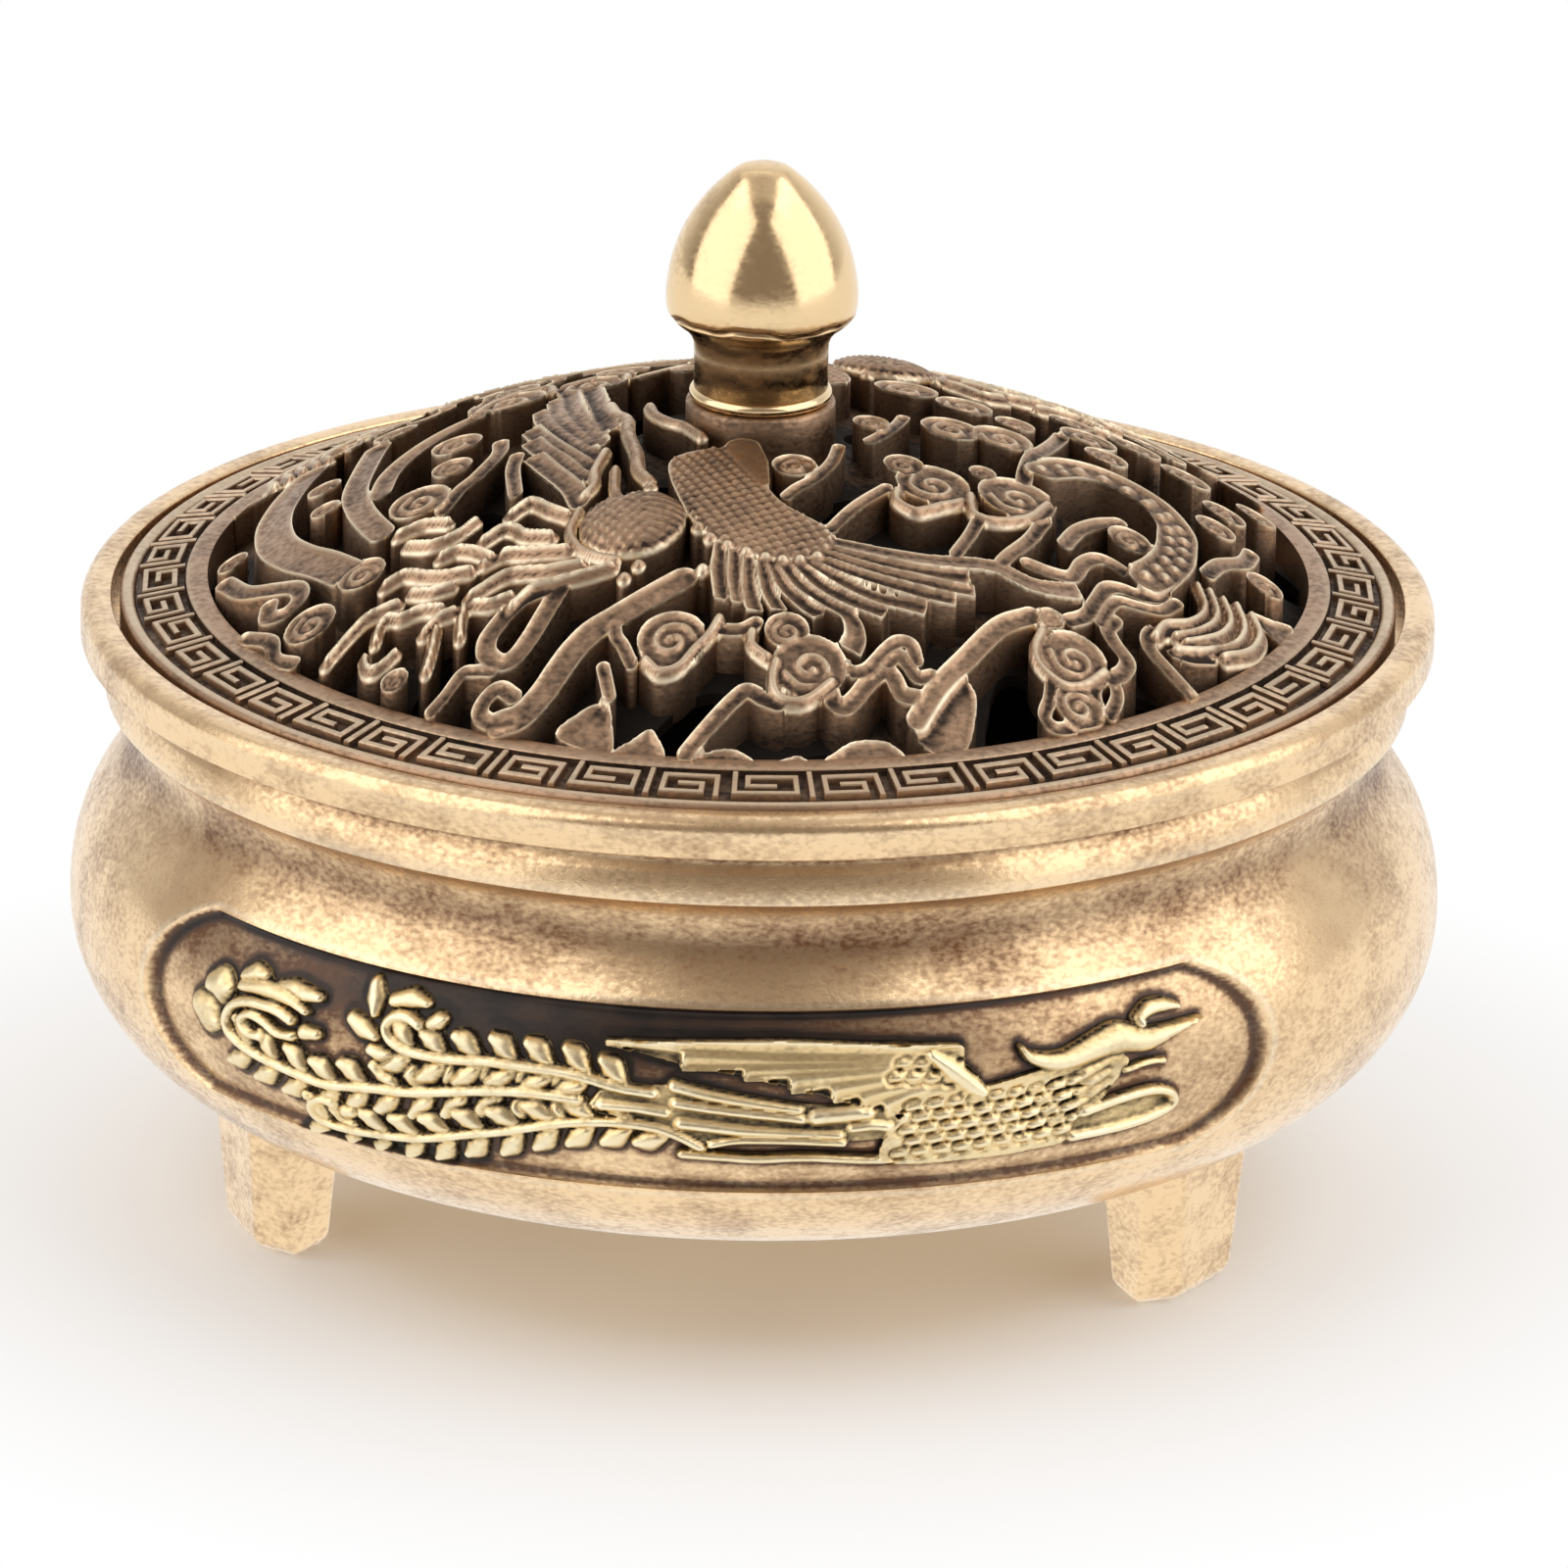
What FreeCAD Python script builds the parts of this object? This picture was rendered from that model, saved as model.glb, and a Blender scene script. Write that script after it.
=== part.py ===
import FreeCAD, Part
import math
import os

# Incense burner of cast brass: a round bowl on three feet, and a pierced lid with a finial.
# Millimetres, +Z up. The origin is on the table, under the bowl's axis. The front is -Y.

# Lid rim
lid_radius = 37.54
bead_width = 0.89
bead_rise = 0.16            # bead above the bowl's lip
channel_width = 2.96        # sunk band that carries the key fret
channel_depth = 0.5
ring_width = 1.04           # plain ring between the fret and the pierced field
rim_slope = 10.6            # degrees, the rim climbs towards the middle
skirt_depth = 2.0
skirt_thickness = 1.6
lid_turn = 6.6              # degrees, how the lid is turned on the bowl

# Lid dome
dome_rise = 9.85
dome_thickness = 2.5
ground_depth = 1.25         # sunk ground between the raised forms, below the dome
relief_rise = 0.2           # raised forms above the dome
boss_radius = 4.4
boss_rise = 1.1
boss_drop = 0.6             # flat seat for the washer, below the dome's underside

# Bowl, from the lid outwards and from the feet upwards
lid_clearance = 0.5
lip_width = 1.82
lip_height = 2.45
lip_round = 0.9
rabbet_depth = 1.9
ledge_width = 3.65
cove_height = 1.6
cove_depth = 0.35
band_inset = 1.47
band_height = 1.7
band_taper = 0.4
neck_depth = 1.65
neck_height = 2.2
shoulder_height = 4.0
shoulder_swell = 1.95
belly_rise = 10.9
belly_swell = 3.75
upper_belly_height = 6.5
underside_reach = 14.0
wall = 3.2
floor_thickness = 3.2

# Picture panels sunk in the belly
panel_half_height = 5.4
panel_half_angle = 54.0     # degrees
panel_lift = 1.15           # centre of the panel above the widest line
panel_depth = 0.7
bird_sink = 0.1             # top of the raised bird, below the belly's surface

# Feet
foot_height = 7.55
foot_reach = 5.4            # outer face beyond the flat underside
foot_depth = 4.4
foot_width = 9.6
foot_face_width = 5.6
foot_flank = 1.5            # depth of the slanted flank facets
foot_spread = 0.8           # how much wider the top is, each side
foot_front_angle = 127.0    # degrees between the two front feet
foot_chamfer = 0.6
tenon_radius = 1.5
tenon_cover = 1.2           # metal left between the tenon's end and the bowl's floor
braze_gap = 0.05
socket_clearance = 0.1

# Finial and what holds it
collar_radius = 4.2
collar_thickness = 0.8
finial_neck_radius = 3.94
finial_neck_height = 2.5
flare_height = 1.85
bud_radius = 5.65
bud_edge_inset = 0.25
bud_edge_height = 1.35      # widest line above the bud's lower edge
bud_height = 7.85           # tip above the widest line
bud_side_bulge = 0.87       # how far the bud's side swells past a straight line
bud_shoulder_radius = 2.0
bud_shoulder_drop = 0.63    # where the side ends, below the tip
bud_tip_radius = 1.0
screw_radius = 1.25
screw_clearance = 0.25
thread_clearance = 0.1
thread_depth = 6.0
head_radius = 2.4
head_height = 1.4
slot_width = 0.6
slot_depth = 0.7
washer_radius = 3.6
washer_thickness = 0.5

# Loose inner pieces
pad_gap = 1.0
pad_thickness = 2.4
plate_radius = 12.0
plate_thickness = 0.8
plate_chamfer = 0.2
pin_radius = 0.9
pin_height = 11.0
pin_tip_radius = 0.25
pin_shoulder_radius = 1.6
pin_shoulder_height = 0.8
rivet_clearance = 0.05

# Smoke windows, drawn on a field of drawn_radius and seen from above with the front at -Y.
# Each is a closed smooth outline through a few points.
drawn_radius = 32.65
edge_windows = [
    [(-7.8, -30.2), (-5.6, -28.6), (-2.6, -26.2), (-0.4, -27.4), (-1.6, -29.6), (-4.6, -31.2)],
    [(-0.2, -30.9), (2.6, -30.5), (5.6, -30.2), (6.5, -30.7), (4.0, -31.5), (1.6, -31.7)],
    [(5.7, -25.8), (6.4, -23.7), (9.6, -23.9), (12.2, -22.4), (12.5, -23.4), (10.4, -26.0),
     (8.6, -24.9)],
    [(13.4, -26.8), (15.7, -22.4), (16.5, -24.4), (16.2, -26.6), (13.8, -28.2)],
    [(21.8, -23.4), (22.4, -20.2), (24.2, -20.8), (23.0, -22.6)],
    [(24.2, -19.0), (25.9, -18.0), (26.3, -18.6), (25.3, -19.6)],
    [(-14.6, -22.0), (-13.2, -20.2), (-11.6, -20.1), (-13.4, -23.0)],
    [(-10.4, -20.7), (-10.0, -21.8), (-12.9, -26.3), (-13.9, -25.5), (-12.0, -22.4)],
    [(-7.6, -24.6), (-4.2, -21.0), (-2.8, -20.7), (-3.0, -22.2), (-6.4, -24.0), (-7.0, -25.5)],
    [(-11.2, -28.2), (-10.1, -26.5), (-9.0, -26.3), (-9.0, -27.4)],
    [(-18.7, -24.8), (-18.2, -21.4), (-16.0, -20.8), (-16.5, -23.0), (-16.7, -24.4)],
    [(-24.5, -20.3), (-23.3, -19.6), (-22.9, -20.9), (-23.3, -21.7)],
    [(-29.3, -13.3), (-28.6, -13.2), (-27.7, -15.0), (-28.3, -15.4)],
    [(7.3, -12.6), (10.0, -12.9), (12.3, -12.4), (11.5, -15.6), (9.5, -16.5), (6.8, -16.0)],
    [(4.7, -8.2), (6.8, -7.8), (6.9, -9.8), (5.2, -12.0), (4.1, -13.4), (4.1, -11.4)],
    [(-16.4, -10.0), (-16.7, -8.2), (-15.9, -5.6), (-15.0, -7.2), (-15.5, -9.4)],
]
side_windows = [
    [(-31.6, -6.2), (-30.9, -6.0), (-30.4, -8.4), (-30.6, -9.5)],
    [(-31.9, 1.6), (-30.7, 1.8), (-30.7, -0.9), (-31.6, -1.3)],
    [(-26.6, 0.2), (-25.6, 0.4), (-25.6, -4.0), (-26.1, -6.6), (-26.7, -4.6)],
    [(-18.3, 1.0), (-16.4, 1.8), (-16.0, -1.8), (-17.0, -4.2), (-18.1, -2.6)],
    [(-13.3, -4.6), (-12.9, -6.0), (-13.3, -8.1), (-14.0, -7.8), (-14.0, -6.0)],
    [(-6.1, -6.3), (-4.8, -6.7), (-4.7, -8.3), (-5.5, -9.6), (-6.3, -8.3)],
    [(-9.1, 3.0), (-7.4, 3.3), (-7.0, 7.4), (-9.2, 7.6)],
    [(16.8, -12.4), (18.0, -12.0), (17.7, -13.4), (17.0, -14.4)],
    [(18.5, -6.3), (19.3, -6.4), (18.9, -8.4), (18.2, -9.4)],
    [(20.4, -10.5), (21.8, -11.6), (22.0, -12.1), (20.1, -12.1)],
    [(12.3, -3.7), (13.9, -3.6), (14.6, -4.9), (13.0, -5.7), (12.2, -5.0)],
    [(29.2, -8.6), (29.0, -7.0), (30.2, -5.0), (31.4, -3.4), (31.6, -5.6), (30.9, -7.8)],
    [(22.6, 1.8), (24.9, 2.2), (25.7, -0.8), (24.4, -3.0), (23.2, -1.4)],
    [(30.6, 5.4), (31.5, 4.6), (31.7, 0.6), (30.9, 0.4)],
    [(5.7, 3.4), (7.2, 3.3), (7.6, 1.6), (6.4, 0.9), (5.6, 1.2)],
]

# Raised forms between the windows, drawn the same way: bands as half width and middle line,
# clouds as middle and radius, plates as closed outlines.
raised_bands = [
    (0.85, [(-4.3, -19.8), (-8.0, -22.4), (-10.4, -24.4), (-12.2, -27.2), (-14.6, -28.6)]),
    (0.6, [(-11.4, -19.4), (-13.0, -22.9), (-14.4, -24.4), (-15.5, -23.2), (-14.9, -21.2),
           (-13.4, -19.6)]),
    (0.5, [(-4.0, -32.2), (-2.4, -30.4), (-1.2, -29.0), (0.4, -29.0)]),
    (0.55, [(4.0, -27.8), (5.0, -29.2), (6.5, -27.2), (7.4, -26.5), (8.3, -27.8), (9.2, -27.9)]),
    (0.45, [(5.0, -26.6), (6.3, -26.5), (8.1, -24.2), (9.1, -25.3)]),
    (0.65, [(15.8, -19.6), (14.0, -21.2), (12.0, -24.4), (9.2, -29.4)]),
    (0.5, [(20.4, -22.5), (21.2, -21.0), (20.3, -18.8), (20.6, -17.6)]),
    (0.5, [(25.2, -21.2), (22.8, -19.0), (22.8, -17.4), (24.4, -16.0)]),
    (0.5, [(18.0, -19.0), (19.6, -16.4), (21.0, -14.3), (23.2, -13.6), (24.2, -11.2)]),
    (0.5, [(15.6, -14.9), (18.2, -14.8), (19.6, -12.1), (21.6, -12.6)]),
    (0.5, [(17.8, -11.6), (18.6, -9.6), (21.0, -6.8)]),
    (0.5, [(26.2, -8.4), (27.0, -6.4), (28.9, -2.4)]),
    (0.45, [(16.6, -9.8), (15.7, -12.4), (13.9, -15.9)]),
    (1.2, [(16.6, -3.4), (20.5, -1.4), (24.0, -4.6), (24.2, -9.0), (22.6, -12.6)]),
    (0.5, [(17.8, 5.0), (16.8, 1.0), (15.4, -5.6)]),
    (1.1, [(-26.6, 8.0), (-28.5, 0.0), (-27.0, -7.0), (-24.0, -11.6)]),
    (0.8, [(-22.6, 7.0), (-23.7, -1.0), (-22.0, -8.6)]),
    (0.7, [(-15.6, 7.4), (-20.0, 3.0), (-22.2, -3.0)]),
    (0.5, [(-15.2, -0.6), (-15.6, -3.2), (-18.4, -8.4)]),
    (0.5, [(-14.4, -11.2), (-13.2, -10.4), (-11.0, -12.6)]),
    (0.5, [(-16.0, -13.4), (-14.6, -12.8), (-12.0, -14.4)]),
    (0.5, [(-15.8, -15.6), (-14.6, -15.2), (-11.0, -16.1)]),
    (0.5, [(-16.6, -18.4), (-14.0, -17.3), (-10.2, -17.7)]),
    (0.45, [(-21.6, -14.8), (-20.0, -14.8), (-16.6, -16.0)]),
    (0.45, [(-24.8, -19.6), (-23.0, -17.6), (-20.8, -17.0)]),
    (0.45, [(-19.2, -20.4), (-17.4, -19.3), (-14.2, -19.3)]),
    (0.45, [(-8.8, 2.4), (-7.7, -2.0), (-6.4, -9.8)]),
]
raised_clouds = [
    (-4.9, -24.8, 2.0), (1.7, -24.3, 1.3), (3.0, -26.8, 2.2), (18.2, -22.2, 2.0),
    (18.5, -25.6, 1.5), (10.1, -8.8, 2.2), (8.4, -6.9, 1.2), (15.0, -8.2, 2.3), (2.0, -8.4, 1.3),
    (11.2, 0.0, 1.8), (14.2, 0.4, 1.8), (-23.0, -12.8, 1.4), (-25.9, -15.6, 1.5), (-19.8, -6.6, 1.8),
]
raised_plates = [
    [(4.6, -15.9), (9.4, -16.3), (13.4, -15.7), (18.6, -15.9), (16.0, -17.7), (12.8, -18.8),
     (10.8, -21.4), (7.0, -22.9), (5.4, -25.4), (3.6, -23.4), (1.2, -22.9), (-2.2, -22.2),
     (-2.7, -18.0), (1.0, -17.6)],
    [(-5.2, -7.6), (-1.6, -6.2), (-0.2, -9.0), (1.2, -12.6), (4.2, -15.6), (3.6, -17.8),
     (0.4, -18.2), (-2.4, -16.6), (-4.2, -13.6)],
    [(25.2, -10.2), (29.3, -10.3), (29.6, -12.2), (28.9, -14.6), (26.6, -17.0), (24.0, -18.2),
     (22.6, -17.4), (24.6, -15.0), (25.6, -13.2)],
    [(-13.4, -4.6), (-13.6, 0.6), (-13.0, 4.4), (-11.6, 8.0), (-9.4, 8.2), (-8.6, -1.4),
     (-9.2, -6.4), (-10.2, -11.4), (-11.4, -9.0)],
    [(-11.4, -29.9), (-9.0, -28.3), (-8.2, -29.8), (-8.4, -31.8), (-10.0, -31.4)],
    [(3.9, -32.8), (5.0, -31.4), (7.6, -30.8), (8.3, -32.0)],
    [(8.6, -29.4), (11.6, -25.6), (12.5, -28.2), (12.0, -30.2), (10.2, -30.9)],
]
rear_copy_gap = 9.0         # forms in front of this line also get a half-turn copy
breast = (-7.3, -14.4)
breast_radius = 3.1
breast_rise = 1.1           # middle of the bird's breast above the other raised forms

# Raised bird of the picture panels, drawn the same way: along the belly from the panel's middle,
# and above its middle line.
panel_bands = [
    (0.95, [(-17.8, 1.9), (-13.0, 1.5), (-7.0, 1.6), (-1.0, 1.0)]),
    (0.75, [(-27.0, -1.4), (-20.0, -1.5), (-12.0, -0.5), (-4.6, -0.1)]),
    (0.8, [(-22.8, -3.8), (-18.0, -4.4), (-12.0, -3.2), (-6.0, -1.7), (1.9, -2.3)]),
    (0.4, [(0.7, -2.9), (8.0, -3.0), (16.0, -3.3), (24.0, -3.0)]),
    (0.6, [(-29.0, 2.4), (-26.0, 2.4), (-22.6, 2.8)]),
    (0.5, [(-19.1, 4.4), (-18.9, 3.4), (-18.7, 2.4)]),
]
panel_clouds = [(-28.0, 0.3, 2.0), (-31.2, 0.9, 1.5), (-16.6, 3.0, 1.5), (-22.8, 0.8, 0.8)]
panel_plates = [
    [(-3.9, 3.5), (2.0, 3.7), (9.0, 3.5), (15.0, 3.2), (18.3, 0.7), (14.0, -0.5), (9.3, 0.6),
     (4.2, 1.9), (0.4, 2.4)],
    [(-4.0, 0.4), (0.4, 1.2), (7.6, 0.3), (12.4, -0.2), (12.8, -1.8), (7.0, -2.1), (2.2, -2.2),
     (-1.0, -1.2)],
    [(12.4, -3.5), (13.2, -0.8), (16.0, 0.3), (19.0, 0.8), (22.0, 1.3), (25.0, 1.8), (27.6, 1.1),
     (26.6, -0.6), (31.0, -1.4), (30.4, -2.8), (24.0, -3.5), (18.0, -3.7)],
    [(20.7, 2.7), (22.4, 2.0), (24.6, 2.6), (27.2, 3.2), (29.6, 2.7), (33.0, 2.5), (30.4, 1.6),
     (27.4, 1.1), (24.0, 1.1), (21.4, 1.7)],
    [(28.3, 2.8), (29.6, 4.0), (31.7, 3.4), (30.4, 2.8)],
]

# Radii worked out from the lid
channel_outer = lid_radius - bead_width
channel_inner = channel_outer - channel_width
field_radius = channel_inner - ring_width
drawing_scale = field_radius / drawn_radius
lip_inner = lid_radius + lid_clearance
lip_outer = lip_inner + lip_width
mouth_radius = lip_inner - ledge_width
band_radius = lip_outer - band_inset
neck_radius = band_radius - neck_depth
belly_radius = neck_radius + belly_swell
base_radius = belly_radius - underside_reach
skirt_outer = mouth_radius - lid_clearance
skirt_inner = skirt_outer - skirt_thickness

# Heights worked out from the feet
base_z = foot_height
floor_z = base_z + floor_thickness
tenon_top = floor_z - tenon_cover
belly_z = base_z + belly_rise
shoulder_z = belly_z + upper_belly_height
neck_z = shoulder_z + shoulder_height
band_bottom = neck_z + neck_height
band_top = band_bottom + band_height
lip_bottom = band_top + cove_height
lip_top = lip_bottom + lip_height
ledge_z = lip_top - rabbet_depth
field_z = lip_top + bead_rise + (lid_radius - field_radius) * math.tan(math.radians(rim_slope))
apex_z = field_z + dome_rise
dome_radius = (field_radius ** 2 + dome_rise ** 2) / (2.0 * dome_rise)
dome_centre = apex_z - dome_radius
relief_radius = dome_radius + relief_rise
ground_radius = dome_radius - ground_depth
boss_top = apex_z + boss_rise
boss_bottom = apex_z - dome_thickness - boss_drop
collar_top = boss_top + collar_thickness
bud_edge_z = collar_top + finial_neck_height + flare_height
bud_wide_z = bud_edge_z + bud_edge_height
bud_tip_z = bud_wide_z + bud_height
washer_bottom = boss_bottom - washer_thickness
pad_top = floor_z + pad_thickness
plate_top = pad_top + plate_thickness
panel_z = belly_z + panel_lift

UP = FreeCAD.Vector(0, 0, 1)
FRONT = FreeCAD.Vector(0, -1, 0)
SIDE = FreeCAD.Vector(1, 0, 0)
AXIS_POINT = FreeCAD.Vector(0, 0, 0)
DIAGONAL = math.sqrt(0.5)   # sine and cosine of 45 degrees


def at(radius, height):
    """A point of a turned profile, in the XZ plane."""
    return FreeCAD.Vector(radius, 0, height)


def line(start, end):
    return Part.LineSegment(start, end).toShape()


def arc(start, middle, end):
    return Part.Arc(start, middle, end).toShape()


def curve(points, first_tangent, last_tangent):
    """A smooth edge through the points, with the given directions at its ends."""
    spline = Part.BSplineCurve()
    spline.interpolate(points, InitialTangent=first_tangent, FinalTangent=last_tangent)
    return spline.toShape()


def quarter_ellipse(centre, reach, drop):
    """The lower outer quarter of an ellipse, from its lowest point to its outermost one."""
    low = at(centre.x, centre.z - drop)
    middle = at(centre.x + reach * DIAGONAL, centre.z - drop * DIAGONAL)
    outer = at(centre.x + reach, centre.z)
    return curve([low, middle, outer], SIDE * reach, UP * drop)


def polyline(points):
    return [line(a, b) for a, b in zip(points, points[1:])]


def turned(edges):
    """The solid that a closed profile sweeps around the axis."""
    face = Part.Face(Part.Wire(Part.__sortEdges__(edges)))
    return face.revolve(AXIS_POINT, UP, 360)


def cylinder(radius, bottom, top, x=0.0, y=0.0):
    return Part.makeCylinder(radius, top - bottom, FreeCAD.Vector(x, y, bottom))


def belly_edges(inset):
    """The belly from the flat underside to the neck, moved inwards by the inset."""
    lower = quarter_ellipse(at(base_radius - inset, belly_z), underside_reach, belly_rise)
    wide = at(belly_radius - inset, belly_z)
    shoulder = at(neck_radius + shoulder_swell - inset, shoulder_z)
    neck = at(neck_radius - inset, neck_z)
    upper = curve([wide, shoulder, neck], UP * upper_belly_height, UP * shoulder_height)
    return [lower, upper]


def bowl_outside():
    """The bowl as if it were solid."""
    neck = at(neck_radius, neck_z)
    neck_hollow = at(band_radius - neck_depth * DIAGONAL, neck_z + neck_height * DIAGONAL)
    band_low = at(band_radius, band_bottom)
    groove = band_radius - band_taper
    band_high = at(groove, band_top)
    cove = at(groove - cove_depth, band_top + cove_height / 2)
    cove_top = at(groove, lip_bottom)
    lip_low = at(lip_outer, lip_bottom)
    lip_high = at(lip_outer, lip_top - lip_round)
    shoulder_cut = lip_round * (1 - DIAGONAL)
    lip_shoulder = at(lip_outer - shoulder_cut, lip_top - shoulder_cut)
    lip_edge = at(lip_outer - lip_round, lip_top)
    edges = polyline([at(0, lip_top), at(0, base_z), at(base_radius, base_z)])
    edges += belly_edges(0)
    edges.append(curve([neck, neck_hollow, band_low], UP * neck_height, SIDE * neck_depth))
    edges.append(line(band_low, band_high))
    edges.append(arc(band_high, cove, cove_top))
    edges += polyline([cove_top, lip_low, lip_high])
    edges.append(arc(lip_high, lip_shoulder, lip_edge))
    edges.append(line(lip_edge, at(0, lip_top)))
    return turned(edges)


def bowl_cavity():
    """The hollow, with the step that the lid sits on."""
    centre = at(base_radius, belly_z)
    lower = quarter_ellipse(centre, underside_reach - wall, belly_rise - floor_thickness)
    wide = at(belly_radius - wall, belly_z)
    shoulder = at(neck_radius + shoulder_swell - wall, shoulder_z)
    mouth = at(mouth_radius, neck_z)
    edges = polyline([at(0, lip_top), at(0, floor_z), at(base_radius, floor_z)])
    edges.append(lower)
    edges.append(curve([wide, shoulder, mouth], UP * upper_belly_height, UP * shoulder_height))
    step = [at(mouth_radius, ledge_z), at(lip_inner, ledge_z), at(lip_inner, lip_top)]
    edges += polyline([mouth] + step + [at(0, lip_top)])
    return turned(edges)


def panel_outline():
    """The picture panel seen square on: two straight edges and two round ends."""
    end = belly_radius * math.sin(math.radians(panel_half_angle))
    end_turn = math.radians(panel_half_angle) - panel_half_height / belly_radius
    start = belly_radius * math.sin(end_turn)
    high = panel_z + panel_half_height
    low = panel_z - panel_half_height
    top = line(at(-start, high), at(start, high))
    right = arc(at(start, high), at(end, panel_z), at(start, low))
    bottom = line(at(start, low), at(-start, low))
    left = arc(at(-start, low), at(-end, panel_z), at(-start, high))
    return Part.Wire([top, right, bottom, left])


def belly_layer(outer_inset, inner_inset):
    """The belly's skin between two insets; a negative inset is outside the belly."""
    outer = belly_edges(outer_inset)
    inner = belly_edges(inner_inset)
    bottom = line(outer[0].firstVertex().Point, inner[0].firstVertex().Point)
    top = line(outer[1].lastVertex().Point, inner[1].lastVertex().Point)
    return turned(outer + inner + [bottom, top])


def panel_place(along, rise):
    """A point of the front panel's drawing, seen square on."""
    return at(belly_radius * math.sin(along / belly_radius), panel_z + rise)


def panel_bird():
    """The raised forms of the front panel, as flat faces seen square on."""
    faces = []
    for half_width, points in panel_bands:
        faces.append(band_face([panel_place(*point) for point in points], half_width, FRONT))
    for along, rise, radius in panel_clouds:
        faces.append(disc_face(panel_place(along, rise), radius, FRONT))
    for points in panel_plates:
        faces.append(plate_face([panel_place(*point) for point in points]))
    return faces


def panel_recess():
    """What is cut away at the front: a thin layer over the panel, and the deeper ground around the bird."""
    reach = FRONT * (2 * belly_radius)
    panel = Part.Face(panel_outline())
    ground = panel.cut(panel_bird())
    layer = belly_layer(-panel_depth, bird_sink).common(panel.extrude(reach))
    return layer.fuse(belly_layer(-panel_depth, panel_depth).common(ground.extrude(reach)))


def band_face(points, half_width, normal):
    """A band of even width along a smooth line through the points, with square ends."""
    middle = Part.BSplineCurve()
    middle.interpolate(points)
    left = []
    right = []
    for point in points:
        direction = middle.tangent(middle.parameter(point))[0]
        aside = direction.cross(normal).normalize() * half_width
        left.append(point + aside)
        right.append(point - aside)
    left_edge = Part.BSplineCurve()
    left_edge.interpolate(left)
    right_edge = Part.BSplineCurve()
    right_edge.interpolate(right[::-1])
    ends = [line(left[-1], right[-1]), line(right[0], left[0])]
    return Part.Face(Part.Wire([left_edge.toShape(), ends[0], right_edge.toShape(), ends[1]]))


def disc_face(middle, radius, normal):
    return Part.Face(Part.Wire(Part.makeCircle(radius, middle, normal)))


def plate_face(points):
    """A closed smooth outline through the points, filled."""
    outline = Part.BSplineCurve()
    outline.interpolate(points, PeriodicFlag=True)
    return Part.Face(Part.Wire(outline.toShape()))


def half_turn(shape):
    turned_copy = shape.copy()
    turned_copy.rotate(AXIS_POINT, UP, 180)
    return turned_copy


def foot_section(height, grow):
    """One level of a foot that stands out along +X; grow widens it on every side."""
    outer = base_radius + foot_reach + grow
    flank = outer - foot_flank
    inner = base_radius + foot_reach - foot_depth - grow
    face = foot_face_width / 2 + grow
    half = foot_width / 2 + grow
    back = half - foot_flank
    corners = [(outer, -face), (outer, face), (flank, half), (inner, back), (inner, -back), (flank, -half)]
    points = [FreeCAD.Vector(x, y, height) for x, y in corners]
    return Part.makePolygon(points + points[:1])


def tenon_place():
    return base_radius + foot_reach - foot_depth / 2


def foot(outside):
    """A tapered block cut to the bowl's underside, with a round tenon on top."""
    sole = foot_section(0, -foot_chamfer)
    levels = [sole, foot_section(foot_chamfer, 0), foot_section(floor_z, foot_spread)]
    block = Part.makeLoft(levels, True, True)
    seat = outside.copy()
    seat.translate(UP * -braze_gap)
    block = block.cut(seat)
    tenon = cylinder(tenon_radius, foot_height / 2, tenon_top, tenon_place())
    return block.fuse(tenon).removeSplitter()


def foot_socket():
    radius = tenon_radius + socket_clearance
    return cylinder(radius, foot_height / 2, tenon_top + socket_clearance, tenon_place())


def turned_to(shape, degrees):
    copy = shape.copy()
    copy.rotate(AXIS_POINT, UP, degrees)
    return copy


foot_turns = {
    "foot_front_left": 270 - foot_front_angle / 2,
    "foot_front_right": 270 + foot_front_angle / 2,
    "foot_rear": 90,
}


def bowl(outside):
    recess = panel_recess()
    cuts = [bowl_cavity(), recess, half_turn(recess)]
    cuts += [turned_to(foot_socket(), turn) for turn in foot_turns.values()]
    return outside.cut(cuts)


def rim_height(radius):
    """Top of the lid's rim, without the bead."""
    return field_z - (radius - field_radius) * math.tan(math.radians(rim_slope))


def lid_blank():
    """The lid before it is carved: rim, bead, fret channel, dome and locating skirt."""
    channel_floor_outer = at(channel_outer, rim_height(channel_outer) - channel_depth)
    channel_floor_inner = at(channel_inner, rim_height(channel_inner) - channel_depth)
    bead_outer = at(lid_radius, lip_top + bead_rise - bead_width / 2)
    bead_crown = at(lid_radius - bead_width / 2, lip_top + bead_rise)
    bead_inner = at(channel_outer, lip_top + bead_rise - bead_width / 2)
    under = dome_radius - dome_thickness
    edges = [arc(bead_outer, bead_crown, bead_inner)]
    ring_edge = at(channel_inner, rim_height(channel_inner))
    field_edge = at(field_radius, field_z)
    relief_edge = dome_point(field_radius, relief_radius)
    channel = [bead_inner, channel_floor_outer, channel_floor_inner, ring_edge]
    edges += polyline(channel + [field_edge, relief_edge])
    edges.append(dome_arc(field_radius, relief_radius))
    edges.append(line(dome_point(0, relief_radius), dome_point(0, under)))
    skirt_top = dome_point(skirt_inner, under)
    edges.append(dome_arc(skirt_inner, under))
    skirt_end = ledge_z - skirt_depth
    skirt = [skirt_top, at(skirt_inner, skirt_end), at(skirt_outer, skirt_end), at(skirt_outer, ledge_z)]
    edges += polyline(skirt + [at(lid_radius, ledge_z), bead_outer])
    return turned(edges)


def dome_point(radius, sphere):
    return at(radius, dome_centre + math.sqrt(sphere ** 2 - radius ** 2))


def dome_arc(radius, sphere):
    """From a radius up to the axis, on one of the dome's spheres."""
    return arc(dome_point(radius, sphere), dome_point(radius / 2, sphere), dome_point(0, sphere))


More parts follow.
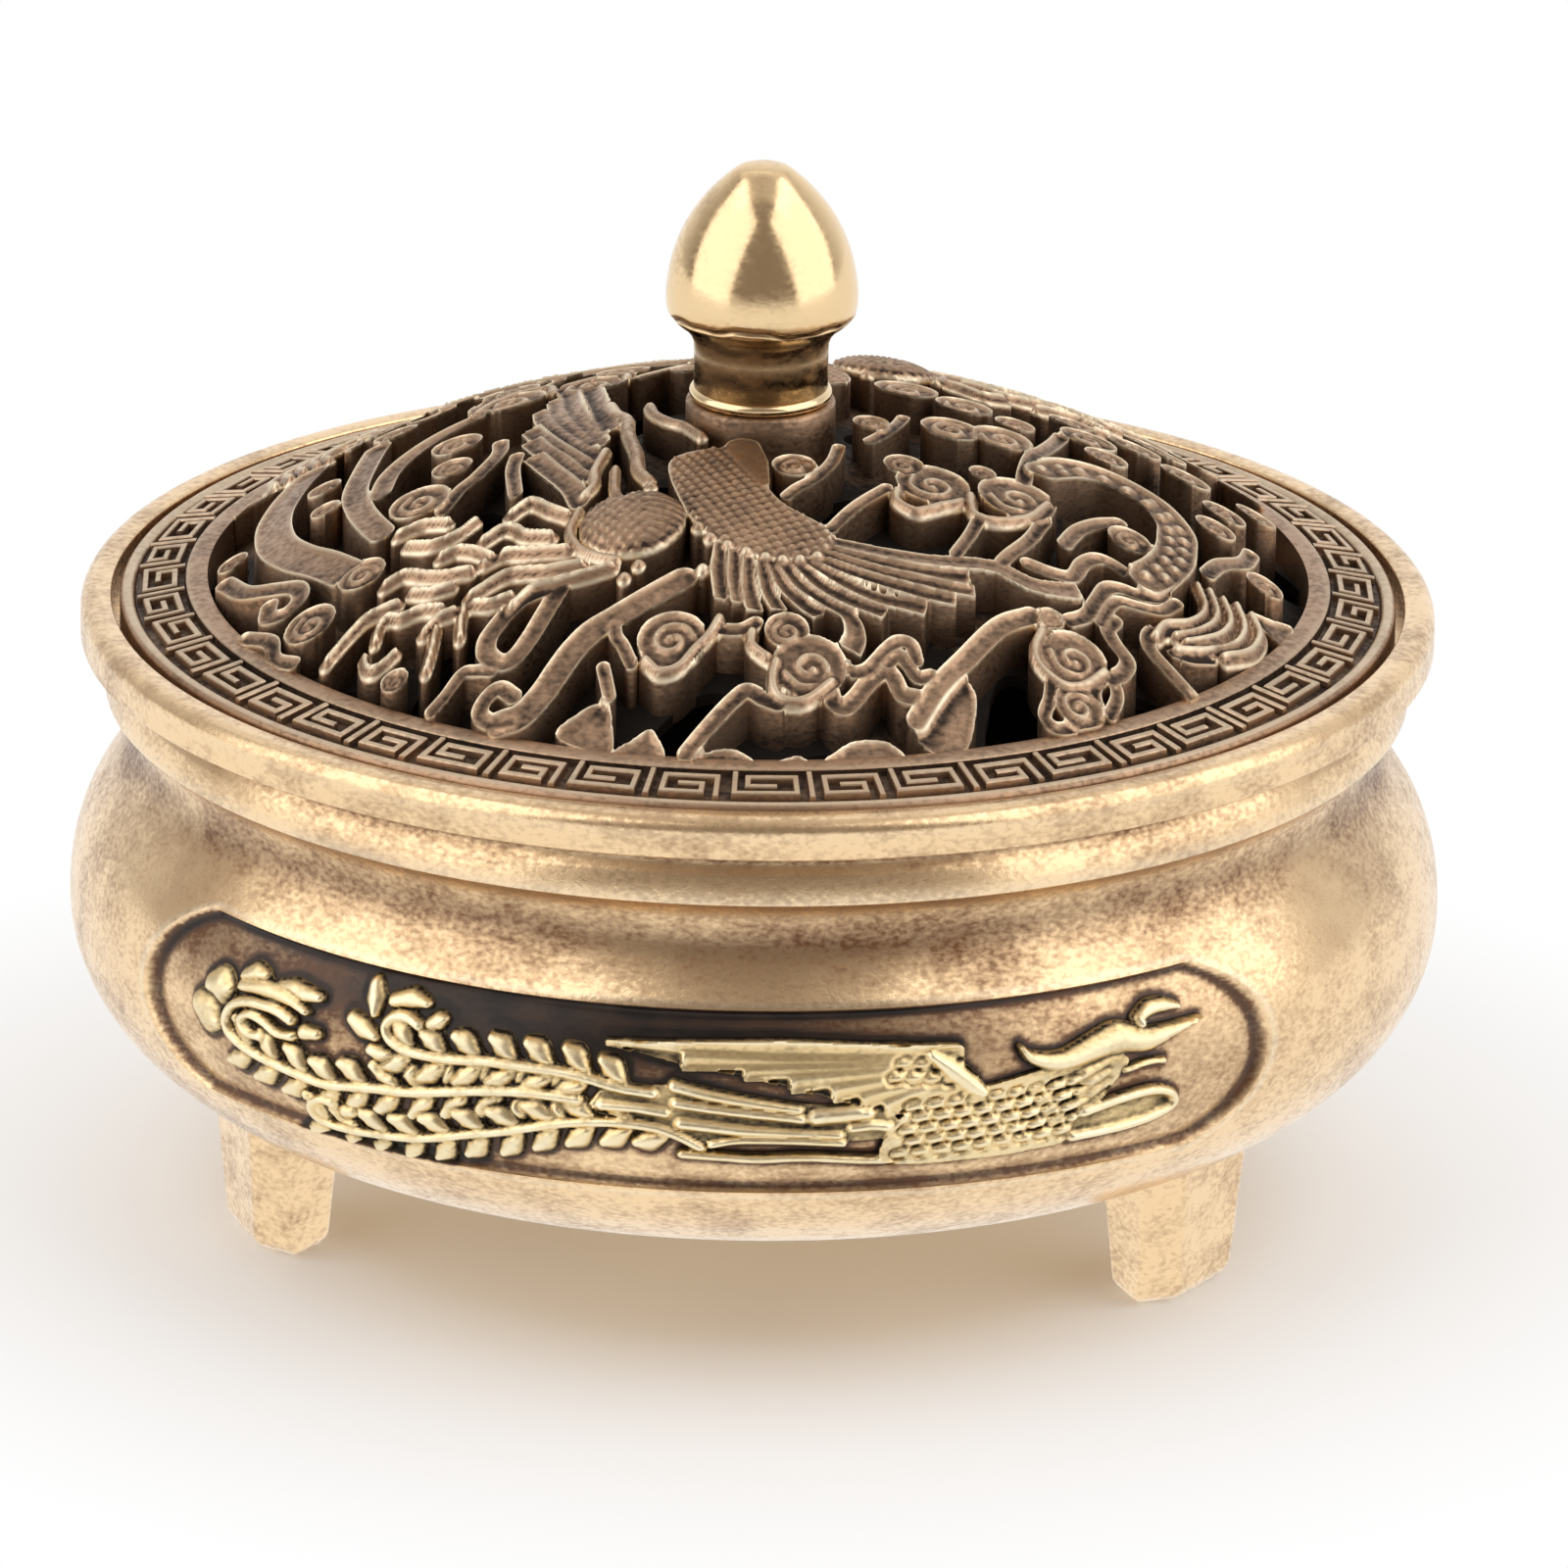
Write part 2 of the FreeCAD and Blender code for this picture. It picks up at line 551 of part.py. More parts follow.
def dome_layer(inner, outer):
    """What lies between two of the dome's spheres, inside the ring."""
    edges = [dome_arc(field_radius, inner), dome_arc(field_radius, outer)]
    edges.append(line(dome_point(0, inner), dome_point(0, outer)))
    edges.append(line(dome_point(field_radius, inner), dome_point(field_radius, outer)))
    return turned(edges)


def lid_place(x, y):
    """A point of the lid's drawing, scaled with the pierced field."""
    return FreeCAD.Vector(x * drawing_scale, y * drawing_scale, ledge_z)


def window(points):
    """A smoke window as a vertical plug."""
    face = plate_face([lid_place(*point) for point in points])
    return face.extrude(UP * (boss_top - ledge_z))


def lid_forms():
    """The raised forms as flat faces, with a half-turn copy of each that lies well in front."""
    faces = []
    for half_width, points in raised_bands:
        faces.append(band_face([lid_place(*point) for point in points], half_width * drawing_scale, UP))
    for x, y, radius in raised_clouds:
        faces.append(disc_face(lid_place(x, y), radius * drawing_scale, UP))
    for points in raised_plates:
        faces.append(plate_face([lid_place(*point) for point in points]))
    return faces + [half_turn(face) for face in faces if face.BoundBox.YMax < -rear_copy_gap]


def sunk_ground():
    """What is cut away between the raised forms."""
    field = disc_face(lid_place(0, 0), field_radius, UP)
    ground = field.cut(lid_forms()).extrude(UP * (boss_top - ledge_z))
    return dome_layer(ground_radius, relief_radius + relief_rise).common(ground)


def bird_breast():
    """A round swelling that stands square on the dome, rooted below the sunk ground."""
    place = lid_place(*breast)
    reach = math.hypot(place.x, place.y)
    middle = FreeCAD.Vector(0, 0, dome_centre)
    outwards = FreeCAD.Vector(place.x, place.y, dome_point(reach, dome_radius).z) - middle
    ball = (breast_radius ** 2 + breast_rise ** 2) / (2 * breast_rise)
    top = relief_radius + breast_rise
    root = (ground_radius + dome_radius - dome_thickness) / 2
    swell = Part.makeSphere(ball, middle + outwards.normalize() * (top - ball))
    return swell.common(dome_layer(root, top + breast_rise))


def lid():
    plugs = [window(points) for points in edge_windows + side_windows]
    plugs += [half_turn(window(points)) for points in edge_windows]
    carved = lid_blank().cut([sunk_ground()] + plugs)
    whole = carved.fuse([bird_breast(), cylinder(boss_radius, boss_bottom, boss_top)])
    bore = cylinder(screw_radius + screw_clearance, boss_bottom, boss_top)
    return turned_to(whole.cut(bore), lid_turn)


def finial_collar():
    """A half-round ring under the finial's neck."""
    hole = screw_radius + screw_clearance
    flat = collar_radius - collar_thickness / 2
    low = at(flat, boss_top)
    crown = at(collar_radius, boss_top + collar_thickness / 2)
    high = at(flat, collar_top)
    edges = polyline([low, at(hole, boss_top), at(hole, collar_top), high])
    edges.append(arc(low, crown, high))
    return turned(edges)


def swelling(start, end, bulge):
    """An arc from start up to end that swells outwards past their straight line."""
    along = end - start
    outwards = FreeCAD.Vector(along.z, 0, -along.x).normalize()
    return arc(start, (start + end) / 2 + outwards * bulge, end)


def finial():
    """Neck, flare and blunt bud, with a blind threaded hole from below."""
    neck_bottom = at(finial_neck_radius, collar_top)
    neck_top = at(finial_neck_radius, collar_top + finial_neck_height)
    edge = at(bud_radius - bud_edge_inset, bud_edge_z)
    wide = at(bud_radius, bud_wide_z)
    shoulder = at(bud_shoulder_radius, bud_tip_z - bud_shoulder_drop)
    tip = at(bud_tip_radius, bud_tip_z)
    edges = polyline([at(0, bud_tip_z), at(0, collar_top), neck_bottom, neck_top, edge])
    edges.append(swelling(edge, wide, bud_edge_inset / 2))
    edges.append(swelling(wide, shoulder, bud_side_bulge))
    edges += polyline([shoulder, tip, at(0, bud_tip_z)])
    hole = cylinder(screw_radius + thread_clearance, collar_top, collar_top + thread_depth)
    return turned(edges).cut(hole)


def finial_washer():
    disc = cylinder(washer_radius, washer_bottom, boss_bottom)
    return disc.cut(cylinder(screw_radius + screw_clearance, washer_bottom, boss_bottom))


def finial_screw():
    """Slotted screw: its head is below the washer, and its end is inside the finial."""
    head_bottom = washer_bottom - head_height
    end = collar_top + thread_depth - thread_clearance
    head = cylinder(head_radius, head_bottom, washer_bottom)
    body = head.fuse(cylinder(screw_radius, washer_bottom, end))
    slot = Part.makeBox(2 * head_radius, slot_width, slot_depth)
    slot.translate(FreeCAD.Vector(-head_radius, -slot_width / 2, head_bottom))
    return body.cut(slot).removeSplitter()


def heat_pad():
    """Fibre mat with a softly rounded edge, on the bowl's floor."""
    radius = base_radius - pad_gap
    flat = radius - pad_thickness / 2
    edges = polyline([at(flat, pad_top), at(0, pad_top), at(0, floor_z), at(flat, floor_z)])
    edges.append(arc(at(flat, floor_z), at(radius, floor_z + pad_thickness / 2), at(flat, pad_top)))
    return turned(edges)


def stand_plate():
    inner = plate_radius - plate_chamfer
    rim = [at(plate_radius, pad_top), at(plate_radius, plate_top - plate_chamfer), at(inner, plate_top)]
    edges = polyline([at(0, pad_top)] + rim + [at(0, plate_top), at(0, pad_top)])
    return turned(edges).cut(cylinder(pin_radius + rivet_clearance, pad_top, plate_top))


def stand_pin():
    """Pointed pin with a shoulder on the plate and a shank through it."""
    shoulder_top = plate_top + pin_shoulder_height
    tip_z = shoulder_top + pin_height
    shank = [at(0, pad_top), at(pin_radius, pad_top), at(pin_radius, plate_top)]
    shoulder = [at(pin_shoulder_radius, plate_top), at(pin_shoulder_radius, shoulder_top)]
    point = [at(pin_radius, shoulder_top), at(pin_tip_radius, tip_z), at(0, tip_z)]
    return turned(polyline(shank + shoulder + point + shank[:1]))


def build():
    """Every piece by name."""
    outside = bowl_outside()
    block = foot(outside)
    pieces = {"bowl": bowl(outside), "lid": lid(), "finial": finial(), "finial_collar": finial_collar()}
    pieces["finial_washer"] = finial_washer()
    pieces["finial_screw"] = finial_screw()
    pieces["heat_pad"] = heat_pad()
    pieces["stand_plate"] = stand_plate()
    pieces["stand_pin"] = stand_pin()
    for name, turn in foot_turns.items():
        pieces[name] = turned_to(block, turn)
    return pieces


os.makedirs("parts", exist_ok=True)
for name, shape in build().items():
    shape.exportStep("parts/" + name + ".step")
    box = shape.BoundBox
    print(name, "solids", len(shape.Solids), "valid", shape.isValid(), "volume %.1f" % shape.Volume,
          "z %.2f to %.2f" % (box.ZMin, box.ZMax), "x %.2f to %.2f" % (box.XMin, box.XMax))
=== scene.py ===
import math

import bpy
import numpy as np
from mathutils import Euler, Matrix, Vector
from mathutils.bvhtree import BVHTree
from mathutils.geometry import delaunay_2d_cdt


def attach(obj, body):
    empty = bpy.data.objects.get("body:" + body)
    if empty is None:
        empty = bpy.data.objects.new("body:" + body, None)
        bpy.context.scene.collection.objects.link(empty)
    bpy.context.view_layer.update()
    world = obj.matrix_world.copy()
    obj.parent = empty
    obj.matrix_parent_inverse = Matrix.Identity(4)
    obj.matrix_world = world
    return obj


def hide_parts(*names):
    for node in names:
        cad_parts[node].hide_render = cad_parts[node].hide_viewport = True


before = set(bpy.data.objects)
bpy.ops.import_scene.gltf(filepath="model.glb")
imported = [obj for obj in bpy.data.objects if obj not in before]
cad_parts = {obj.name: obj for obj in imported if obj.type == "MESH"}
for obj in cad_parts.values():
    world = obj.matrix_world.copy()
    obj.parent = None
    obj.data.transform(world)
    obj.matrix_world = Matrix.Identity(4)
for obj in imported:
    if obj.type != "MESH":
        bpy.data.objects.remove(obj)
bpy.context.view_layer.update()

# Lengths are in millimetres until a mesh is made.
MM = 0.001
ALL_SMOOTH = 180        # as the angle where edges turn sharp, in degrees

# Grids and strokes of the reliefs
RELIEF_STEP = 0.14
FILL_STEP = 1.6         # between the points inside a flat region
OFF_GRID = -9.0         # reach of a cell that no stroke is near
CUT_MARGIN = 0.02       # share of a cell's side that a cut keeps from its corners
EDGE = 0.2              # over this width a stroke rises from another one under it
RIM_WIDTH = 0.34        # raised line along the edge of a flat form
RIM_RISE = 0.26
CLOUD_LEVEL = 0.15
CLOUD_RIM = 0.3
SOFTENING = 0.08
SOFT_REACH = 0.28       # steps are rounded off only where a stroke's edge is further away
RUB_CONTRAST = 4.0
LID_RUB = 0.5           # a height counts as rubbed against the mean over this radius
PANEL_RUB = 0.45
RUB_EDGE = 0.25         # width of the wear along a stroke's edge

# Lid
LID_TURN = math.radians(6.6)
FIELD_RADIUS = 32.65    # pierced field, inside the plain ring
FIELD_Z = 37.98
FIELD_OVERLAP = 0.35    # forms and ground run this far into the ring
FIELD_MARGIN = 0.6      # the grids go on this far past the field
DOME_RADIUS = 59.04
DOME_CENTRE = -11.21
DOME_THICKNESS = 2.5
GROUND = -1.9           # sunk ground of the relief, below the dome
WALL_EDGE = 0.3         # rubbed upper edge of a wall
LID_EDGE_WEAR = 1.0
WINDOW_STEP = 0.25
WINDOW_BLUR = 1.8       # smooths the windows' outlines, in cells
WINDOW_REACH = 1.2      # turns the smoothed field into about millimetres
WINDOW_GROWTH = 0.22    # widens the smoke windows towards the forms around them
WINDOW_SHADE_SPREAD = 1.6       # how far painted shade reaches from the windows over the sunk ground
REAR_LINE = -7.0        # strokes in front of this line get a half-turn copy
FEATHER_GAIN = 1.25     # widens the drawn feathers until they overlap
RIM_SLOPE = math.tan(math.radians(10.6))
CHANNEL_DEPTH = 0.5
CHANNEL_RADIUS = 36.65  # outer side of the fret's channel
SEAT_Z = 35.0           # the rim lies on the bowl's step here
SKIRT_Z = 33.0
BOSS_BOTTOM = 44.73
BOSS_TOP = 48.93
COLLAR_TOP = 49.73
SCREW_HOLE = 1.5

# Belly of the bowl, and the panels sunk in it
BELLY_RADIUS = 40.49
BELLY_Z = 18.45
BASE_RADIUS = 26.49
BASE_Z = 7.55
SHOULDER = (38.69, 24.95)   # radius and height
SHOULDER_SLOPE = -0.656
NECK = (36.74, 28.95)
BAND_EDGE_Z = 31.3
COVE_Z = 33.9
LIP_Z = 35.4
PANEL_Z = 19.6
PANEL_HALF_HEIGHT = 5.4
PANEL_END_CENTRE = 26.82
PANEL_END_RADIUS = 5.94
PANEL_DEPTH = 0.7
PANEL_WALL = 0.5        # width of the slope around a panel
BIRD_LOWEST = 0.05      # the bird's forms stand at least this far off the panel's ground
BIRD_ROOT = -0.25       # its walls end this far under the ground
# Painted shade along the top edge of the bird's forms.
BIRD_EDGE_SHADE = -0.5
GROOVE_Z = 10.3         # turned line above the feet


# Shared drawing tools

def smooth_path(points, widths, closed=False, step=0.1):
    """A smooth curve through the points, with a width at each of its samples."""
    points = np.array(points, float)
    widths = np.broadcast_to(np.array(widths, float), len(points))
    if closed:
        points = np.vstack([points[-1:], points, points[:2]])
        widths = np.concatenate([widths[-1:], widths, widths[:2]])
    else:
        points = np.vstack([2 * points[0] - points[1], points, 2 * points[-1] - points[-2]])
        widths = np.concatenate([widths[:1], widths, widths[-1:]])
    path = []
    path_widths = []
    for i in range(1, len(points) - 2):
        a, b, c, d = points[i - 1:i + 3]
        count = max(2, int(np.linalg.norm(c - b) / step))
        t = np.arange(count)[:, None] / count
        path.append(0.5 * (2 * b + (c - a) * t + (2 * a - 5 * b + 4 * c - d) * t ** 2
                           + (3 * b - a - 3 * c + d) * t ** 3))
        path_widths.append(widths[i] + (widths[i + 1] - widths[i]) * t[:, 0])
    if not closed:
        path.append(points[-2:-1])
        path_widths.append(widths[-2:-1])
    return np.vstack(path), np.concatenate(path_widths)


def blurred(field, sigma):
    """A Gaussian blur, sigma in cells."""
    reach = int(3 * sigma) + 1
    kernel = np.exp(-0.5 * (np.arange(-reach, reach + 1) / sigma) ** 2)
    kernel /= kernel.sum()
    for axis in (0, 1):
        pad = [(reach, reach) if axis == a else (0, 0) for a in (0, 1)]
        padded = np.pad(field, pad, mode="edge")
        size = field.shape[axis]
        field = sum(k * np.take(padded, range(i, i + size), axis) for i, k in enumerate(kernel))
    return field


class Relief:
    """A height map that strokes are laid on, one over the other."""

    def __init__(self, x, y, ground):
        self.x, self.y = np.meshgrid(x, y)
        self.step = x[1] - x[0]
        self.height = np.full(self.x.shape, float(ground))
        self.edge = self.height.copy()
        self.reach = np.full(self.x.shape, OFF_GRID)
        self.wear_and_shading = np.zeros(self.x.shape)

    def window(self, path, margin):
        """The rows and columns that a path and a margin around it take in."""
        low = path.min(0) - margin
        high = path.max(0) + margin
        columns = slice(*np.searchsorted(self.x[0], [low[0], high[0]]))
        rows = slice(*np.searchsorted(self.y[:, 0], [low[1], high[1]]))
        return rows, columns

    def lay(self, where, inside, top, edge):
        """Lays a piece over what is there; inside is the distance from its edge, inwards."""
        bare = self.reach[where] <= 0
        cover = np.where(bare, inside > 0, np.clip(inside / EDGE + 0.5, 0, 1))
        self.height[where] += (top - self.height[where]) * cover
        self.edge[where] = np.where(inside > -self.step, edge, self.edge[where])
        self.reach[where] = np.maximum(self.reach[where], inside)

    def measure(self, points, widths, closed=False):
        """Where a stroke lies, how far inside it each cell is, its width there and the side."""
        path, path_widths = smooth_path(points, widths, closed)
        where = self.window(path, path_widths.max() + 1)
        dx = self.x[where][..., None] - path[:, 0]
        dy = self.y[where][..., None] - path[:, 1]
        gap = np.hypot(dx, dy) - path_widths
        nearest = gap.argmin(-1)[..., None]
        tangent = np.gradient(path, axis=0)
        tangent /= np.linalg.norm(tangent, axis=1)[:, None] + 1e-9
        offset = dy * tangent[:, 0] - dx * tangent[:, 1]
        inside = -np.take_along_axis(gap, nearest, -1)[..., 0]
        side = np.take_along_axis(offset, nearest, -1)[..., 0]
        return where, inside, path_widths[nearest[..., 0]], side

    def band(self, points, half_width, level=0.0, rim=RIM_RISE):
        """A flat band with a raised line along each edge."""
        where, inside, _, _ = self.measure(points, half_width)
        self.lay(where, inside, level + rim * rim_line(inside), level + rim)

    def strand(self, points, half_width, level, rise, crown=2.4):
        """A bar with a round back, or a sharper one where the crown is lower."""
        where, inside, width, _ = self.measure(points, half_width)
        across = np.clip(1 - inside / width, 0, 1)
        self.lay(where, inside, level + rise * (0.6 - across ** crown), level - 0.4 * rise)

    def shingle(self, points, half_width, level, tilt=0.4):
        """A flat feather with a square tip, tilted across, with a raised line along its edges."""
        where, inside, width, side = self.measure(points, half_width)
        end = np.array(points[-1], float)
        heading = end - np.array(points[-2], float)
        heading /= np.linalg.norm(heading)
        beyond = (self.x[where] - end[0]) * heading[0] + (self.y[where] - end[1]) * heading[1]
        inside = np.minimum(inside, -beyond)
        across = np.clip(side / width, -1, 1)
        top = level - 0.5 * tilt * across + 0.2 * rim_line(inside)
        self.lay(where, inside, top, top)

    def ridge(self, points, half_width, rise):
        """A thin line on whatever is below it, raised or, with a rise below 0, cut in."""
        where, inside, width, _ = self.measure(points, half_width)
        across = np.clip(1 - inside / width, 0, 1)
        self.height[where] += np.where(inside > 0, rise * (1 - across ** 2), 0)

    def outline(self, points):
        """Where a smooth closed outline lies, and how far inside it each cell is."""
        path, _ = smooth_path(points, 0, True)
        where, inside, _, _ = self.measure(points, 0.0, True)
        x = self.x[where]
        y = self.y[where]
        within = np.zeros(x.shape, bool)
        for (ax, ay), (bx, by) in zip(path, np.roll(path, -1, 0)):
            if ay != by:
                crosses = (ay > y) != (by > y)
                within ^= crosses & (x < (bx - ax) * (y - ay) / (by - ay) + ax)
        return where, np.where(within, -inside, inside)

    def plate(self, points, level, rim=RIM_RISE):
        """A flat piece inside a smooth closed outline, with a raised line along its edge."""
        where, inside = self.outline(points)
        self.lay(where, inside, level + rim * rim_line(inside), level + rim)

    def weave(self, points, degrees, pitch, rise):
        """Crossed lines inside a closed outline, one set at an angle from +X."""
        where, inside = self.outline(points)
        c, s = math.cos(math.radians(degrees)), math.sin(math.radians(degrees))
        along = (self.x[where] * c + self.y[where] * s) * math.pi / pitch
        across = (self.y[where] * c - self.x[where] * s) * math.pi / pitch
        knots = np.abs(np.sin(along) * np.sin(across))
        self.height[where] += np.where(inside > 0.15, rise * knots, 0)

    def cloud(self, x, y, radius, turn):
        """A round plate with a rim and a spiral line that starts at an angle from +X."""
        ring = [(x + radius * math.cos(a), y + radius * math.sin(a)) for a in even_angles(8)]
        self.plate(ring, CLOUD_LEVEL, CLOUD_RIM)
        spiral = []
        for k in range(10):
            angle = turn + k * 0.95
            reach = radius * (0.68 - 0.062 * k)
            spiral.append((x + reach * math.cos(angle), y + reach * math.sin(angle)))
        self.ridge(spiral, min(0.22, radius * 0.15), CLOUD_RIM)
        self.bead(*spiral[-1], 0.16 * radius, CLOUD_RIM, CLOUD_LEVEL)

    def bead(self, x, y, radius, rise, level):
        """A small round dome."""
        where = self.window(np.array([(x, y)]), radius + 1)
        gap = np.hypot(self.x[where] - x, self.y[where] - y)
        dome = np.clip(1 - (gap / radius) ** 2, 0, 1)
        self.lay(where, radius - gap, level + rise * dome, level)

    def reach_at(self, x, y):
        """How far inside the strokes a point lies, between the cells too."""
        rows, columns = self.x.shape
        u = (x - self.x[0, 0]) / self.step
        v = (y - self.y[0, 0]) / self.step
        known = (u >= 0) & (u <= columns - 1) & (v >= 0) & (v <= rows - 1)
        j = np.clip(u.astype(int), 0, columns - 2)
        i = np.clip(v.astype(int), 0, rows - 2)
        low = self.reach[i, j] + (self.reach[i, j + 1] - self.reach[i, j]) * (u - j)
        high = self.reach[i + 1, j] + (self.reach[i + 1, j + 1] - self.reach[i + 1, j]) * (u - j)
        return np.where(known, low + (high - low) * (v - i), OFF_GRID)

    def around(self, sigma):
        """Mean height of the strokes around each cell."""
        laid = (self.reach > 0).astype(float)
        cells = sigma / self.step
        return blurred(self.height * laid, cells) / np.maximum(blurred(laid, cells), 0.02)

    def soften(self, sigma):
        """Rounds off steps that are as small as the cells, away from the outer edges."""
        self.height = np.where(self.reach > SOFT_REACH, self.around(sigma), self.height)

    def rub(self, sigma, edge_wear_and_shading=-1.0):
        """Worn and shaded: above 0 on lines and edges that hands have worn bright, below 0 in hollows, for
        patina and painted shade there.
        """
        self.wear_and_shading = np.clip((self.height - self.around(sigma)) * RUB_CONTRAST, -1, 1)
        edge = edge_wear_and_shading - (edge_wear_and_shading + 1) * np.clip(self.reach / RUB_EDGE, 0, 1)
        self.wear_and_shading = np.maximum(self.wear_and_shading, edge)


def rim_line(inside):
    """A line along an edge, 1 at the edge itself, that falls evenly to 0 over its width."""
    return np.clip(1 - inside / RIM_WIDTH, 0, 1)


def add_object(name, data):
    item = bpy.data.objects.new(name, data)
    bpy.context.collection.objects.link(item)
    return item


def make_piece(name, vertices, faces, body, material, wear_and_shading=None, sharp=None):
    """A mesh from points in millimetres, with a value at each point for how worn it is and how much painted
    highlight and shade it gets.

    It is shaded smooth up to the angle where edges turn sharp, or flat without one."""
    mesh = bpy.data.meshes.new(name)
    mesh.from_pydata([tuple(v) for v in np.reshape(vertices, (-1, 3)) * MM], [], faces)
    if wear_and_shading is not None:
        attribute = mesh.attributes.new("wear_and_shading", "FLOAT", "POINT")
        attribute.data.foreach_set("value", np.asarray(wear_and_shading, np.float32).ravel())
    mesh.validate()
    mesh.update()
    if sharp:
        mesh.shade_smooth()
        mesh.set_sharp_from_angle(angle=math.radians(sharp))
    piece = add_object(name, mesh)
    mesh.materials.append(material)
    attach(piece, body)
    return piece


def clipped_grid(relief, edge_wear_and_shading):
    """The cells of a relief inside its strokes, cut along their edges.

    Gives the kept points as (x, y, height), their value for how worn they are and how much painted shade
    they get, the faces, and the edges of the cut."""
    reach = relief.reach
    kept = reach > 0
    index = -np.ones(reach.shape, int)
    index[kept] = np.arange(kept.sum())
    places = list(zip(relief.x[kept], relief.y[kept], relief.height[kept], relief.wear_and_shading[kept]))
    corner = [kept[:-1, :-1], kept[:-1, 1:], kept[1:, 1:], kept[1:, :-1]]
    count = sum(c.astype(int) for c in corner)
    r, c = np.nonzero(count == 4)
    faces = np.stack([index[r, c], index[r, c + 1], index[r + 1, c + 1], index[r + 1, c]], 1).tolist()
    cut_points = {}
    cuts = []

    def crossing(a, b):
        key = (a, b) if a < b else (b, a)
        if key not in cut_points:
            fa, fb = reach[key[0]], reach[key[1]]
            t = np.clip(fa / (fa - fb), CUT_MARGIN, 1 - CUT_MARGIN)
            near = key[0] if fa > 0 else key[1]
            x = relief.x[key[0]] * (1 - t) + relief.x[key[1]] * t
            y = relief.y[key[0]] * (1 - t) + relief.y[key[1]] * t
            cut_points[key] = len(places)
            places.append((x, y, relief.edge[near], edge_wear_and_shading))
        return cut_points[key]

    for r, c in zip(*np.nonzero((count > 0) & (count < 4))):
        ring = [(r, c), (r, c + 1), (r + 1, c + 1), (r + 1, c)]
        for run in cell_runs(ring, kept):
            before = ring[(ring.index(run[0]) - 1) % 4]
            after = ring[(ring.index(run[-1]) + 1) % 4]
            start = crossing(before, run[0])
            end = crossing(run[-1], after)
            faces.append([start] + [int(index[k]) for k in run] + [end])
            cuts.append((end, start))
    places = np.array(places)
    return places[:, :3], places[:, 3], faces, cuts


def cell_runs(ring, kept):
    """The unbroken runs of kept corners around a cell."""
    flags = [bool(kept[k]) for k in ring]
    runs = []
    for i in range(4):
        if flags[i] and not flags[i - 1]:
            run = []
            while flags[i % 4] and len(run) < 4:
                run.append(ring[i % 4])
                i += 1
            runs.append(run)
    return runs


def cut_ends(cuts):
    """The points at the ends of the cut edges, each once and in order."""
    return sorted({end for cut in cuts for end in cut})


def turned_mesh(profile, columns):
    """Rings of points around the axis for a list of (radius, height), and their faces."""
    profile = np.array(profile, float)
    ring = np.stack([np.cos(columns), np.sin(columns)], 1)
    vertices = np.empty((len(profile), len(columns), 3))
    vertices[..., :2] = profile[:, None, :1] * ring[None]
    vertices[..., 2] = profile[:, 1][:, None]
    return vertices, ring_faces(len(profile), len(columns))


def ring_faces(rows, columns):
    """Faces between closed rings of points, one ring after the other."""
    faces = []
    for low in range(0, (rows - 1) * columns, columns):
        high = low + columns
        for j in range(columns):
            k = (j + 1) % columns
            faces.append((low + j, low + k, high + k, high + j))
    return faces


def turned(x, y, angle):
    """Places turned about the axis."""
    c, s = math.cos(angle), math.sin(angle)
    return x * c - y * s, x * s + y * c


def arc(centre, radius, start, end, count):
    """Points of a circle, angles in degrees."""
    angles = np.radians(np.linspace(start, end, count))
    return [(centre[0] + radius * math.cos(a), centre[1] + radius * math.sin(a)) for a in angles]


def even_angles(count):
    return np.arange(count) * 2 * math.pi / count


# Materials

def feed(tree, node, inputs):
    """Gives inputs of a shader node a value, or the output of another node."""
    for key, value in inputs.items():
        if isinstance(value, bpy.types.NodeSocket):
            tree.links.new(value, node.inputs[key])
        else:
            node.inputs[key].default_value = value


def add_node(tree, kind, inputs=None, **settings):
    node = tree.nodes.new(kind)
    for key, value in settings.items():
        setattr(node, key, value)
    feed(tree, node, inputs or {})
    return node


def new_material(name):
    material = bpy.data.materials.new(name)
    material.use_nodes = True
    tree = material.node_tree
    return material, tree, tree.nodes["Principled BSDF"]


def noise(tree, scale, detail, stretch=(1, 1, 1)):
    place = add_node(tree, "ShaderNodeTexCoord").outputs["Object"]
    mapped = add_node(tree, "ShaderNodeMapping", {"Vector": place, "Scale": stretch}).outputs[0]
    texture = add_node(tree, "ShaderNodeTexNoise", {"Vector": mapped, "Scale": scale, "Detail": detail})
    return texture.outputs["Fac"]


def math_node(tree, operation, a, b, clamp=False):
    node = add_node(tree, "ShaderNodeMath", {0: a, 1: b}, operation=operation, use_clamp=clamp)
    return node.outputs[0]


def spread(tree, value, low, high, to_low=0.0, to_high=1.0):
    """A value moved from one range to another and held inside it."""
    inputs = {"Value": value, "From Min": low, "From Max": high, "To Min": to_low, "To Max": to_high}
    return add_node(tree, "ShaderNodeMapRange", inputs, clamp=True).outputs[0]


def mix(tree, share, a, b):
    """Colour a with a share of colour b; the node keeps its colours in inputs 6 and 7."""
    return add_node(tree, "ShaderNodeMix", {0: share, 6: a, 7: b}, data_type="RGBA").outputs[2]


def bump(tree, height, strength, distance):
    inputs = {"Height": height, "Strength": strength, "Distance": distance}
    return add_node(tree, "ShaderNodeBump", inputs).outputs[0]


def colour(red, green, blue):
    """An sRGB colour, 0 to 255, as the linear one that shaders take."""
    channels = []
    for value in (red, green, blue):
        share = value / 255
        channels.append(share / 12.92 if share < 0.04045 else ((share + 0.055) / 1.055) ** 2.4)
    return (*channels, 1.0)


# Near-black colour where the vertex attribute is lowest: painted shade at the foot of walls, in gaps and
# around the windows, and the inside of the bowl.
NEAR_BLACK_COLOUR = colour(32, 26, 22)


